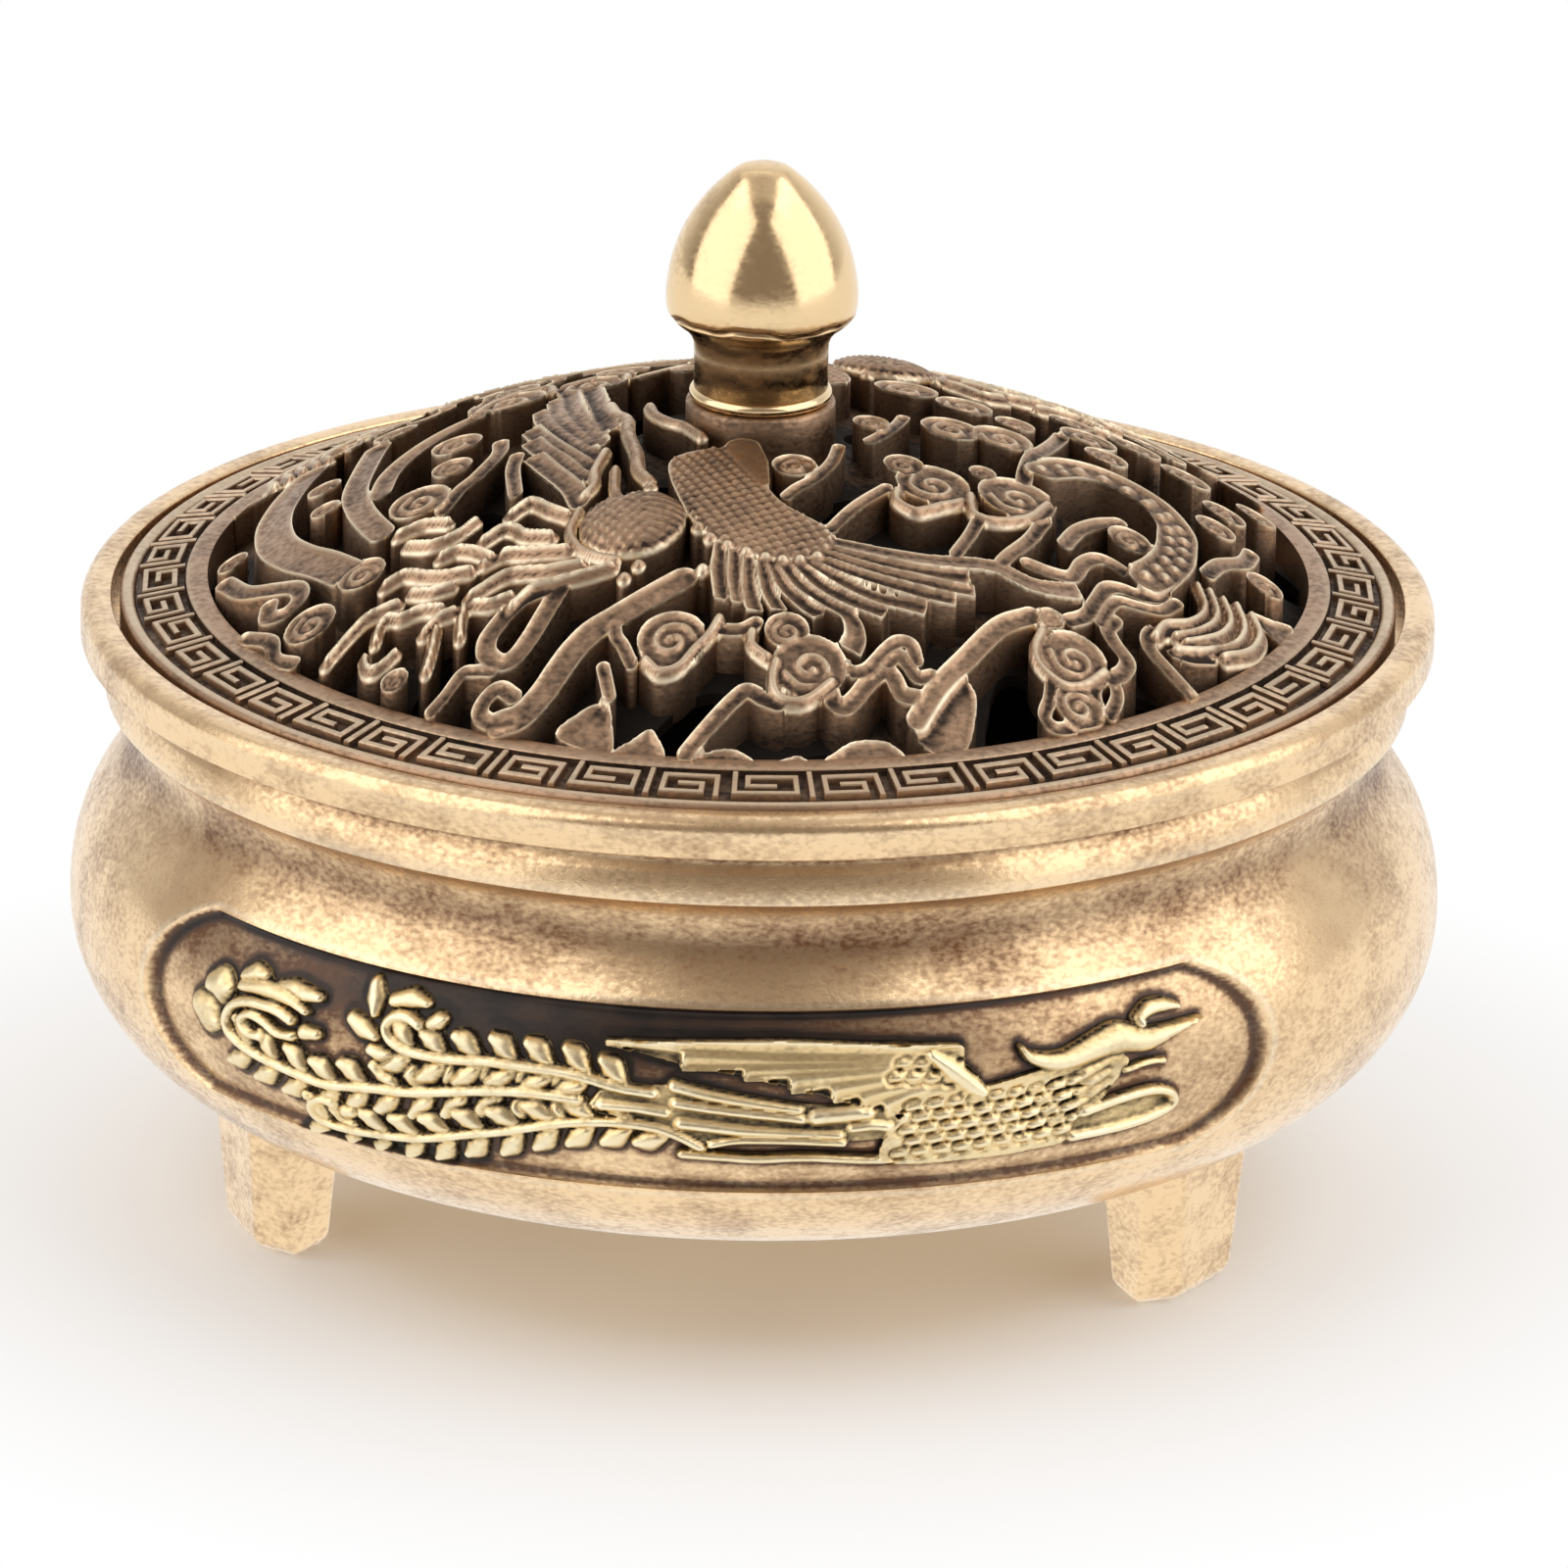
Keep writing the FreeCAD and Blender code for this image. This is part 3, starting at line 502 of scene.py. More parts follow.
def antique_brass(name, bright, body, dark, patina, rough, grain=1.0, coat=0.0, hollow_and_shade_colour=None):
    """Brass that is worn bright on its edges, with painted highlights on some of them, mottled on its
    faces, and dark in its hollows with patina and painted shade.
    """
    material, tree, shader = new_material(name)
    wear_and_shading = add_node(tree, "ShaderNodeAttribute", attribute_name="wear_and_shading").outputs["Fac"]
    mottle = noise(tree, 420, 5.0, (1, 1, 1.8))
    speck = noise(tree, 2300, 3.0, (1, 1, 1.6))
    cloudy = noise(tree, 130, 4.0)

    def blotched(share, low, high, at_low, at_high):
        return math_node(tree, "MULTIPLY", share, spread(tree, mottle, low, high, at_low, at_high))

    stain_and_shade = math_node(tree, "ADD", spread(tree, mottle, 0.35, 0.75, -0.14, 0.2), patina)
    stain_and_shade = math_node(tree, "ADD", stain_and_shade, spread(tree, speck, 0.35, 0.68, -0.2 * grain, 0.32 * grain))
    stain_and_shade = math_node(tree, "ADD", stain_and_shade, spread(tree, cloudy, 0.32, 0.68, -0.2, 0.24))
    # Below 0 the vertex attribute darkens the stain: patina, and painted shade where a piece sets it.
    stain_and_shade = math_node(tree, "ADD", stain_and_shade, spread(tree, wear_and_shading, 0.0, -0.8), True)
    # Above 0 the attribute gives worn edges and painted highlights. Below 0 it gives patina and painted
    # shade, near black at the lowest.
    worn_and_highlit = blotched(spread(tree, wear_and_shading, 0.12, 0.8), 0.3, 0.6, 0.65, 1.0)
    patina_and_shade = blotched(spread(tree, wear_and_shading, -0.25, -0.8, 0.0, 0.95), 0.35, 0.65, 1.0, 0.7)
    near_black = blotched(spread(tree, wear_and_shading, -0.75, -1.0), 0.3, 0.65, 1.0, 0.72)
    base = mix(tree, stain_and_shade, body, dark)
    base = mix(tree, worn_and_highlit, base, bright)
    base = mix(tree, patina_and_shade, base, hollow_and_shade_colour or dark)
    base = mix(tree, near_black, base, NEAR_BLACK_COLOUR)
    metallic = spread(tree, stain_and_shade, 0.3, 1.0, 1.0, 0.75)
    dull = spread(tree, stain_and_shade, 0.0, 1.0, rough, rough + 0.25)
    dull = math_node(tree, "ADD", dull, spread(tree, speck, 0.3, 0.7, -0.05, 0.07))
    feed(tree, shader, {"Base Color": base, "Metallic": metallic, "Roughness": dull,
                        "Normal": bump(tree, speck, 0.25 * grain, 0.00008),
                        "Coat Weight": coat, "Coat Roughness": 0.25})
    return material


def plain_steel():
    material, tree, shader = new_material("plain_steel")
    grain = noise(tree, 900, 4.0)
    base = mix(tree, grain, colour(150, 150, 152), colour(196, 196, 198))
    dull = spread(tree, grain, 0.3, 0.7, 0.25, 0.45)
    feed(tree, shader, {"Base Color": base, "Metallic": 1.0, "Roughness": dull})
    return material


def matted_fibre():
    material, tree, shader = new_material("matted_fibre")
    tangle = noise(tree, 900, 6.0)
    blot = noise(tree, 110, 3.0)
    base = mix(tree, tangle, colour(176, 170, 158), colour(232, 228, 218))
    base = mix(tree, spread(tree, blot, 0.5, 0.75, 0.0, 0.4), base, colour(150, 138, 120))
    feed(tree, shader, {"Base Color": base, "Roughness": 0.95, "Normal": bump(tree, tangle, 0.8, 0.0003)})
    return material


bowl_brass = antique_brass("bowl_brass", colour(255, 245, 222), colour(249, 216, 170), colour(124, 82, 48),
                           patina=0.13, rough=0.24, grain=0.75, coat=0.3, hollow_and_shade_colour=colour(66, 56, 52))
relief_brass = antique_brass("relief_brass", colour(255, 242, 206), colour(238, 210, 156),
                             colour(40, 32, 26), patina=0.0, rough=0.34, grain=0.7)
lid_brass = antique_brass("lid_brass", colour(252, 236, 206), colour(180, 148, 120), colour(58, 45, 37),
                          patina=0.06, rough=0.38, grain=0.9)
# A darker copy of the lid's brass for the sunk ground: painted shade.
shaded_ground_brass = antique_brass("shaded_ground_brass", colour(140, 116, 92), colour(118, 94, 74), colour(34, 27, 23),
                            patina=0.2, rough=0.5)
polished_brass = antique_brass("polished_brass", colour(255, 240, 200), colour(240, 210, 164),
                               colour(104, 70, 42), patina=-0.12, rough=0.17, grain=0.3)
stand_brass = antique_brass("stand_brass", colour(250, 226, 165), colour(214, 176, 104),
                            colour(110, 82, 48), patina=0.08, rough=0.32)


# Lid relief: strokes seen from above with the front at -Y

RIM_LEAVES = [
    [(-11.4, -29.9), (-10, -28.6), (-9, -28.3), (-8.4, -28.7), (-8.2, -29.8), (-8.4, -31.6)],
    [(-8.2, -31.7), (-7, -30.9), (-6.2, -30.4), (-5.7, -30.7), (-5.3, -32.3)],
    [(-3.8, -32.6), (-2.2, -31.9), (-1, -32), (-0.2, -32.8)],
    [(1, -32.8), (2.4, -32.2), (3.1, -32.8)],
    [(3.9, -32.7), (5, -31.4), (6, -30.9), (7.6, -30.8), (8.3, -31.8)],
    [(28.6, -9.9), (30, -9.2), (31.2, -8.7), (30.6, -11.4)],
    [(8.6, -29.4), (10.2, -28), (11.6, -25.6), (12.5, -26.4), (12.5, -28.2), (12, -30.2), (10.2, -30.9)],
]
CLOUDS = [
    (-4.9, -24.8, 2, 0), (1.7, -24.3, 1.3, 2), (3, -26.8, 2.2, 3.4), (18.2, -22.2, 2, 3),
    (18.5, -25.6, 1.5, 1), (16.9, -19.6, 0.8, 0), (10.1, -8.8, 2.2, 2.4), (8.4, -6.9, 1.2, 1),
    (15, -8.2, 2.3, 3.2), (13, -6, 0.8, 0), (2, -8.4, 1.3, 0.5), (6.5, -1.2, 1.1, 0), (11.2, 0, 1.8, 1),
    (14.2, 0.4, 1.8, 3), (-23, -12.8, 1.4, 0), (-25.9, -15.6, 1.5, 2), (-20.8, -23.4, 0.8, 1),
    (-19.8, -6.6, 1.8, 2), (-30.8, -3.6, 0.9, 0.5), (-17.8, 0.8, 1.5, 0.8), (-18, -3, 1.2, 2.2),
    (-25.6, 1.6, 1, 1.4), (-25.4, -2.4, 0.9, 3), (29.6, -6.4, 1.1, 1), (26.8, -1.6, 1.2, 2.2),
    (21.6, -8.8, 1.3, 0.4),
]
CLOUD_RIMS = [
    [(-6.4, -26), (-5.6, -26.9), (-4.5, -26.7), (-3.6, -25.5), (-2.8, -24.5), (-2.2, -23.2)],
    [(-0.3, -24.3), (-0.3, -25.2), (0.3, -25.9), (1, -26.4)],
    [(1.1, -26.4), (0.9, -27.4), (1, -28.4), (1.5, -29), (2.4, -29.1), (3.2, -28.7), (4.3, -27.6)],
    [(8, -10), (8, -11.2), (9, -12), (9.8, -11.6), (10.6, -10.9), (11.6, -10.1), (12.4, -9.2)],
    [(12.3, -9), (12.4, -10.8), (13, -11.3), (13.9, -11.2), (14.8, -10.7), (15.9, -9.6), (16.8, -7.6)],
    [(16.4, -20.6), (16, -22), (16.1, -23.2), (16.9, -24), (17.9, -24.3), (19, -23.6), (20, -22.2)],
]
BANDS = [
    (0.45, [(-2.4, -23.8), (-1.9, -24.1), (-0.9, -24.1), (-0.1, -23.6)]),
    (0.5, [(-4, -32.4), (-2.4, -30.4), (-1.2, -29), (-0.5, -28.5), (0.4, -29), (1.2, -29.3)]),
    (0.55, [(4, -27.8), (4.4, -28.9), (5, -29.2), (5.7, -28.5), (6.5, -27.2), (7.3, -26.4), (7.8, -26.8),
            (8.3, -27.8), (9.2, -27.9)]),
    (0.45, [(5, -26.6), (5.6, -26.8), (6.3, -26.5), (6.9, -25.7), (7.4, -24.9), (8.1, -24.1), (8.8, -24.2),
            (9.1, -25.3)]),
    (0.45, [(7.5, -25.8), (8.1, -25.1), (8.6, -25.7), (9.2, -26.5), (10, -26.2)]),
    (0.6, [(-11.4, -19.4), (-12.2, -21.2), (-13, -22.9), (-13.9, -24.2), (-14.8, -24.3), (-15.5, -23.4),
           (-15.5, -22.4), (-15.1, -21.6), (-14.4, -20.6), (-13.6, -19.7), (-12.2, -19.2)]),
    (0.85, [(-4.3, -19.8), (-6, -21), (-8, -22.4), (-9.4, -23.3), (-10.4, -24.4), (-11.2, -25.6),
            (-12.2, -27.2), (-13.4, -28.4), (-14.6, -28.6)]),
    (0.5, [(-14, -28.5), (-15.2, -28.3), (-15.8, -27.5), (-15.4, -26.6), (-14.7, -26.2), (-13.9, -27)]),
    (0.4, [(-8.2, -22.9), (-8.1, -24), (-7.7, -24.8), (-7.2, -26.2)]),
    (0.4, [(-8.8, -26.2), (-8.6, -27.2), (-8.4, -28.3)]),
    (0.4, [(-18.6, -26.4), (-17.8, -25.6), (-16.9, -24.4), (-16.3, -24.4), (-15.2, -24.8)]),
    (0.65, [(15.8, -19.6), (14, -21.2), (12, -24.4), (10.4, -26.9), (9.2, -29.4)]),
    (0.4, [(4.1, -15.2), (5.6, -12.4), (7.4, -9.8)]),
    (0.4, [(16.9, -24.2), (16.8, -25.6), (16.5, -27), (17.2, -27.5), (18.4, -26.9)]),
    (0.4, [(19.5, -24.9), (19.4, -23.8), (19.9, -22.9), (20.5, -22.8), (20.7, -23.8), (20.3, -25.2)]),
    (0.5, [(20.4, -22.5), (21.1, -21.6), (21.3, -20.6), (20.6, -19.6), (20.2, -18.6), (20.6, -17.6)]),
    (0.5, [(25.2, -21.2), (23.8, -20), (22.7, -18.9), (22.6, -17.8), (23.2, -16.8), (24.4, -16)]),
    (0.5, [(18, -19), (19, -18), (19.6, -16.4), (20.2, -14.8), (21, -14.3), (22.2, -14.2), (23.2, -13.6),
           (23.6, -12.6), (24.2, -11.2)]),
    (0.4, [(19.8, -18.2), (20.3, -16.6), (20.9, -15.6), (22.2, -15.3), (23.4, -14.8), (24.3, -13.4)]),
    (0.5, [(15.6, -14.9), (17, -15.1), (18.2, -14.8), (18.8, -13.2), (19.6, -12.1), (20.4, -12),
           (21.6, -12.6)]),
    (0.4, [(24, -18.2), (25, -18), (26.2, -17.2)]),
    (0.5, [(17.8, -11.6), (18.6, -9.6), (19.8, -7.9), (21, -6.8)]),
    (0.5, [(26.2, -8.4), (27, -6.4), (28.4, -4.4), (28.9, -2.4)]),
    (0.45, [(16.6, -9.8), (15.7, -12.4), (14.5, -14.6), (13.9, -15.9)]),
    (0.4, [(12.8, -11.4), (12.2, -13.6), (11.4, -15.7)]),
    (0.4, [(4.6, -5.2), (4.3, -7), (3.8, -8.4), (3.2, -9.6), (2.2, -10.8), (1.6, -11.8)]),
    (0.4, [(8.4, 1), (8, -0.6), (7.2, -2.4), (6.4, -3.8)]),
    (0.5, [(17.8, 5), (17.4, 3), (16.8, 1), (16, -1), (15.6, -3.4), (15.4, -5.6)]),
    (1.1, [(-26.6, 8), (-27.8, 4), (-28.5, 0), (-28.2, -4), (-27, -7), (-25.4, -9.4), (-24, -11.6)]),
    (0.8, [(-22.6, 7), (-23.2, 3), (-23.7, -1), (-23.4, -4), (-22.8, -6.4), (-22, -8.6)]),
    (0.7, [(-15.6, 7.4), (-18, 5.4), (-20, 3), (-21.6, 0), (-22.2, -3)]),
    (0.5, [(-15.2, -0.6), (-15.3, -2.4), (-16.4, -4.8), (-17.4, -6.2), (-18.4, -8.4)]),
    (0.45, [(-14.2, -3.4), (-14.4, -5.4), (-14.2, -8.6)]),
    (0.55, [(-31.2, -5.6), (-30, -8.2), (-28.4, -9.6), (-26.9, -10.8), (-26.6, -12.2), (-27.4, -13),
            (-28.4, -12.6), (-28.4, -11.4)]),
    (0.45, [(-29.8, -13.4), (-28.2, -15.2), (-27.9, -17), (-26.8, -18.2)]),
]
STRANDS = [
    (0.5, [(-14.4, -11.2), (-13.4, -10.3), (-12.8, -10.6), (-12, -11.6), (-11, -12.6)]),
    (0.5, [(-16, -13.4), (-14.8, -12.6), (-14, -13), (-13.4, -13.8), (-12, -14.4)]),
    (0.5, [(-15.8, -15.6), (-14.6, -15.2), (-13.2, -15.6), (-11, -16.1)]),
    (0.5, [(-16.6, -18.4), (-14.6, -17.3), (-13.4, -17.4), (-12, -17.7), (-10.2, -17.7)]),
    (0.45, [(-14.2, -20.2), (-13, -19.1), (-11.6, -18.9), (-9.6, -18.6), (-8.4, -18.3)]),
    (0.45, [(-21.6, -14.8), (-20.4, -14.4), (-19.2, -15.2), (-18, -15.8), (-16.6, -16)]),
    (0.45, [(-18.4, -13.8), (-17.4, -13.6), (-16.4, -14.2), (-15.4, -15.2)]),
    (0.45, [(-24.8, -19.6), (-23.4, -18), (-22.4, -17.2), (-20.8, -17)]),
    (0.4, [(-22, -19.6), (-21.8, -18.5), (-21.3, -18), (-20.6, -18.4), (-19.4, -18.3), (-18.2, -18.7)]),
    (0.4, [(-22.6, -20.6), (-22.4, -21.6), (-21.8, -21.9), (-20.8, -21.2)]),
    (0.45, [(-19.2, -20.4), (-18.4, -19.5), (-17.4, -19.3), (-16.6, -19.1), (-15.4, -19.5),
            (-14.2, -19.3)]),
    (0.4, [(-16.9, -19.3), (-17.1, -20.6), (-17.1, -21.6)]),
    (0.4, [(-18.5, -20.4), (-18.7, -22), (-19, -23.4)]),
    (0.4, [(-17.6, -17), (-18.8, -17), (-20, -16.4)]),
    (0.4, [(-20.4, -11.4), (-19, -12.2), (-17.6, -12), (-16.4, -11)]),
    (0.4, [(-21, -9.8), (-19.4, -9.6), (-18, -10.2)]),
]
CREST = [
    (0.45, [(-8.8, 2.4), (-8.4, 0.6), (-7.8, -0.6), (-7.7, -3), (-7.2, -6), (-7, -8.4), (-6.4, -9.8)]),
    (0.4, [(-6.5, 1.4), (-6.2, -0.2), (-5.4, -1.6), (-4.4, -2.6), (-3.4, -4.4)]),
    (0.4, [(-9, -5.4), (-9.6, -8), (-9.6, -9.6), (-10.2, -10.8)]),
    (0.35, [(-8.4, -8), (-8.4, -10.4), (-8, -11.8)]),
]
FEATHERS = [
    (0.5, 0.75, [(4.6, -16.5), (7, -16.9), (9.4, -17), (11.4, -16.7), (13.6, -16.3), (16, -17),
                 (18.6, -16.3)]),
    (0.35, 0.6, [(4, -17.1), (7, -17.9), (10, -18.1), (12.2, -18)]),
    (0.35, 0.6, [(3.9, -17.7), (7, -18.7), (10.4, -19.1), (12.5, -19)]),
    (0.35, 0.6, [(3.4, -18.2), (6, -19.4), (9.4, -20.1), (11.4, -20.1)]),
    (0.35, 0.6, [(2.9, -18.5), (4.6, -19.9), (6.8, -21), (9.7, -21.4)]),
    (0.35, 0.6, [(2.2, -18.7), (3.5, -20.4), (5.2, -21.5), (7.4, -22.2)]),
    (0.35, 0.55, [(1.4, -18.8), (2.4, -20.6), (3.8, -21.8), (5.2, -22.8), (5.6, -24.2), (5.3, -25.4)]),
    (0.35, 0.5, [(0.8, -18.8), (1.5, -20.8), (2.6, -22.2), (3.6, -23)]),
    (0.3, 0.45, [(0.2, -18.8), (0.5, -21), (1.2, -22.7)]),
    (0.3, 0.45, [(-0.6, -18.4), (-0.6, -20.6), (-0.2, -22.8)]),
    (0.3, 0.45, [(-1.4, -17.8), (-1.4, -20), (-1, -22.2)]),
    (0.3, 0.45, [(-2.2, -17.2), (-2.3, -19.4), (-2, -21.9)]),
]
FAR_FEATHERS = [
    [(-12.8, 4.2), (-12.6, 2), (-12, 0), (-11.2, -2.2), (-10.2, -4.4), (-9.4, -6.2)],
    [(-12, 6.4), (-11.8, 3), (-11.2, 0.6), (-10.4, -1.6), (-9.4, -3.6)],
    [(-11.2, 8), (-11, 4), (-10.4, 1), (-9.4, -2.4)],
    [(-10, 8), (-9.6, 4), (-9.2, 1), (-8.8, -1.4)],
    [(-13.4, 0.6), (-12.9, -1), (-12.2, -2.8), (-11.2, -4.8), (-10, -7)],
    [(-13.4, -1.4), (-12.6, -3.6), (-11.4, -6), (-10.4, -8.4)],
    [(-13.2, -4), (-12.2, -6.4), (-11, -9), (-10.4, -11.2)],
]
MANE = [
    [(25.6, -10.4), (26, -12), (25.8, -13.4), (25, -14.8), (23.6, -16), (23, -17.4)],
    [(26.3, -10.4), (26.7, -12.2), (26.4, -13.8), (25.4, -15.4), (24.2, -16.6)],
    [(27.1, -10.6), (27.5, -12.4), (27, -14.2), (26, -15.6), (24.8, -16.8)],
    [(27.9, -10.4), (28.3, -12.2), (28, -14), (27.2, -15.4), (25.8, -16.8), (24.2, -17.9)],
    [(28.8, -10.6), (29.2, -12), (29, -13.4), (28.4, -14.8), (27, -16.4)],
]
SNAKE = [
    (16.6, -3.4), (18.4, -1.8), (20.5, -1.4), (23, -2.6), (24.3, -5), (24.4, -7), (24.2, -9), (23.5, -11),
    (22.6, -12.6),
]
BEADS = [
    (-3.5, -15.3), (-2.8, -16.4), (-1.8, -17.2), (-0.7, -17.8), (0.4, -18.3), (1.4, -18.5), (2.4, -18.4),
    (3.4, -18), (-6.9, -18.5), (-7.7, -19.5), (-3.2, -19.3), (-6.3, -10.6),
]
REAR_CLOUDS = [
    (8.6, 7.4, 1.9, 1), (12, 5.6, 1.7, 2.6), (19.4, 6, 1.7, 0.4), (20.4, 3, 1.3, 2), (22.2, 8.8, 1.6, 3.4),
    (27.4, 2, 1.3, 1.2), (-4.4, 21.8, 1.5, 0.6), (15, 4, 1.2, 0), (-18.6, 15.4, 1.6, 2.2),
    (25.2, 6.4, 1.5, 0.8), (29.4, 5.6, 1.2, 2.4), (-22.4, 12.4, 1.5, 1.2), (-14.8, 12.2, 1.7, 0.2),
    (-12, 15.6, 1.4, 2.8), (-8.2, 12.6, 1.6, 1), (-4.2, 11, 1.2, 2), (24, 11.8, 1.4, 1.6),
    (-27.4, 12, 1.4, 0.4), (-24.6, 16.2, 1.5, 2), (18.4, 9.4, 1.3, 1.8),
]
BACK = [
    (-5.2, -7.6), (-1.6, -6.2), (-0.2, -9), (1.2, -12.6), (4.2, -15.6), (3.6, -17.8), (0.4, -18.2),
    (-2.4, -16.6), (-4.2, -13.6),
]
BREAST_RIM = [(-10.4, -12.4), (-10.9, -14.4), (-10.5, -16), (-9.6, -17.1), (-8.2, -17.9)]


def half_turned(points):
    return [(-x, -y) for x, y in points]


def with_rear(strokes, points_of=list):
    """The strokes with their points, and a half-turn copy of each that lies well in front."""
    both = []
    for stroke in strokes:
        points = points_of(stroke)
        both.append((stroke, points))
        if max(y for x, y in points) < REAR_LINE:
            both.append((stroke, half_turned(points)))
    return both


def stroke_points(stroke):
    """The points of a stroke that is given as (half width, points)."""
    return stroke[1]


def dome_height(x, y, level=0.0):
    """Height of the dome, moved in or out by a level."""
    return DOME_CENTRE + np.sqrt((DOME_RADIUS + level) ** 2 - np.hypot(x, y) ** 2)


def window_field(relief):
    """Above 0 where the lid is metal, below 0 in its smoke windows, smoothed along their edges."""
    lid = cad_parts["lid"].data
    tree = BVHTree.FromPolygons([v.co for v in lid.vertices], [p.vertices for p in lid.polygons])
    metal = np.ones(relief.x.shape)
    x, y = turned(relief.x, relief.y, LID_TURN)
    above = 70 * MM
    for i, j in zip(*np.nonzero(np.hypot(x, y) < FIELD_RADIUS - 0.3)):
        hit, _, _, _ = tree.ray_cast(Vector((x[i, j] * MM, y[i, j] * MM, above)), Vector((0, 0, -1)))
        if hit is None:
            metal[i, j] = 0
    return (blurred(metal, WINDOW_BLUR) - 0.5 - WINDOW_GROWTH) * WINDOW_REACH


def draw_bird(relief, place):
    """Near wing, body and breast of a bird; place moves points to the lid's front or rear."""
    for root, tip, points in FEATHERS[::-1]:
        widths = np.linspace(FEATHER_GAIN * root, FEATHER_GAIN * tip, len(points))
        relief.shingle(place(points), widths, level=0.2)
    relief.plate(place(BACK), level=0.35, rim=0.0)
    relief.weave(place(BACK), degrees=-64, pitch=0.62, rise=0.26)
    neck = [(-1.0, -6.2), (-0.4, -8.4), (0.2, -10.8)]
    relief.band(place(neck), [1.0, 0.9, 0.4], level=0.5, rim=0.0)
    for x, y in place(BEADS):
        relief.bead(x, y, 0.45, rise=0.4, level=0.25)
    breast(relief, *place([(-7.3, -14.4)])[0])
    relief.strand(place(BREAST_RIM), 0.35, level=0.4, rise=0.4)


def breast(relief, x0, y0):
    """A swelling oval with crossed scale lines on one side and curved bars on the other."""
    radius = 3.1
    where = relief.window(np.array([(x0, y0)]), 4.5)
    x = relief.x[where] - x0
    y = relief.y[where] - y0
    ratio = np.hypot(x, y) / radius
    swell = 0.9 * np.sqrt(np.clip(1 - ratio ** 2, 0, 1))
    scales = np.abs(np.sin(4.4 * (x + 0.8 * y))) * np.abs(np.sin(4.4 * (x - 0.8 * y)))
    bars = np.abs(np.sin(5.0 * (y + 0.25 * x)))
    pattern = np.where(x < 0.9, scales, 0.8 * bars)
    relief.lay(where, (1 - ratio) * radius, 0.2 + swell + 0.2 * pattern, 0.2)


def draw_lid(relief):
    """All raised forms of the lid, the lower ones first."""
    for _, points in with_rear(RIM_LEAVES):
        relief.plate(points, level=-0.35)
    for (half_width, _), points in with_rear(BANDS, stroke_points):
        relief.band(points, half_width)
    for (half_width, _), points in with_rear(STRANDS, stroke_points):
        relief.strand(points, half_width, level=0.3, rise=0.6, crown=1.1)
        relief.ridge(points, 0.16, 0.16)
    for cloud in REAR_CLOUDS:
        relief.cloud(*cloud)
    for (_, _, radius, turn), [(x, y)] in with_rear(CLOUDS, lambda cloud: [cloud[:2]]):
        relief.cloud(x, y, radius, turn)
    for _, points in with_rear(CLOUD_RIMS):
        relief.strand(points, 0.4, level=0.15, rise=0.5)
    relief.band(SNAKE, 1.2, level=0.3, rim=0.3)
    for k, (x, y) in enumerate(smooth_path(SNAKE, 0)[0][4::7]):
        relief.bead(x + (0.4 if k % 2 else -0.4), y, 0.45, rise=0.25, level=0.35)
    for _, points in with_rear(MANE):
        relief.strand(points, 0.45, level=0.2, rise=0.7, crown=1.1)
    for points in FAR_FEATHERS:
        relief.shingle(points[::-1], 0.65, level=0.15)
    draw_bird(relief, half_turned)
    draw_bird(relief, list)
    for half_width, points in CREST:
        relief.strand(points, half_width, level=0.35, rise=0.4)


def flat_region(relief, points, cuts):
    """Triangles inside the cut edges, seen from above, and which point lies under each cut end."""
    rim = cut_ends(cuts)
    order = {a: i for i, a in enumerate(rim)}
    spots = [Vector(points[a, :2]) for a in rim]
    edges = [(order[a], order[b]) for a, b in cuts]
    fill = np.arange(-32, 33, FILL_STEP)
    for x in fill:
        spots += [Vector((x, y)) for y in fill if math.hypot(x, y) < FIELD_RADIUS - 0.5]
    spots, _, faces, sources, _, _ = delaunay_2d_cdt(spots, edges, [], 1, 1e-6)
    places = np.array([tuple(spot) for spot in spots])
    faces = np.array(faces)
    middles = places[faces].mean(1)
    faces = faces[relief.reach_at(middles[:, 0], middles[:, 1]) > 0].tolist()
    loop = {}
    for i, origin in enumerate(sources):
        for k in origin:
            if k < len(rim):
                loop[rim[k]] = i
    return places, faces, loop


def on_dome(spots, level):
    return np.c_[spots, dome_height(spots[:, 0], spots[:, 1], level)]


def lid_grid(step):
    """An empty relief over the field and its margin, and each cell's distance from the axis."""
    span = np.arange(-FIELD_RADIUS - FIELD_MARGIN, FIELD_RADIUS + FIELD_MARGIN, step)
    relief = Relief(span, span, GROUND)
    return relief, np.hypot(relief.x, relief.y)


def turned_lid_piece(name, vertices, faces, wear_and_shading, material):
    x, y = turned(vertices[:, 0], vertices[:, 1], LID_TURN)
    vertices = np.stack([x, y, vertices[:, 2]], 1)
    make_piece(name, vertices, faces, "lid", material, wear_and_shading, sharp=55)


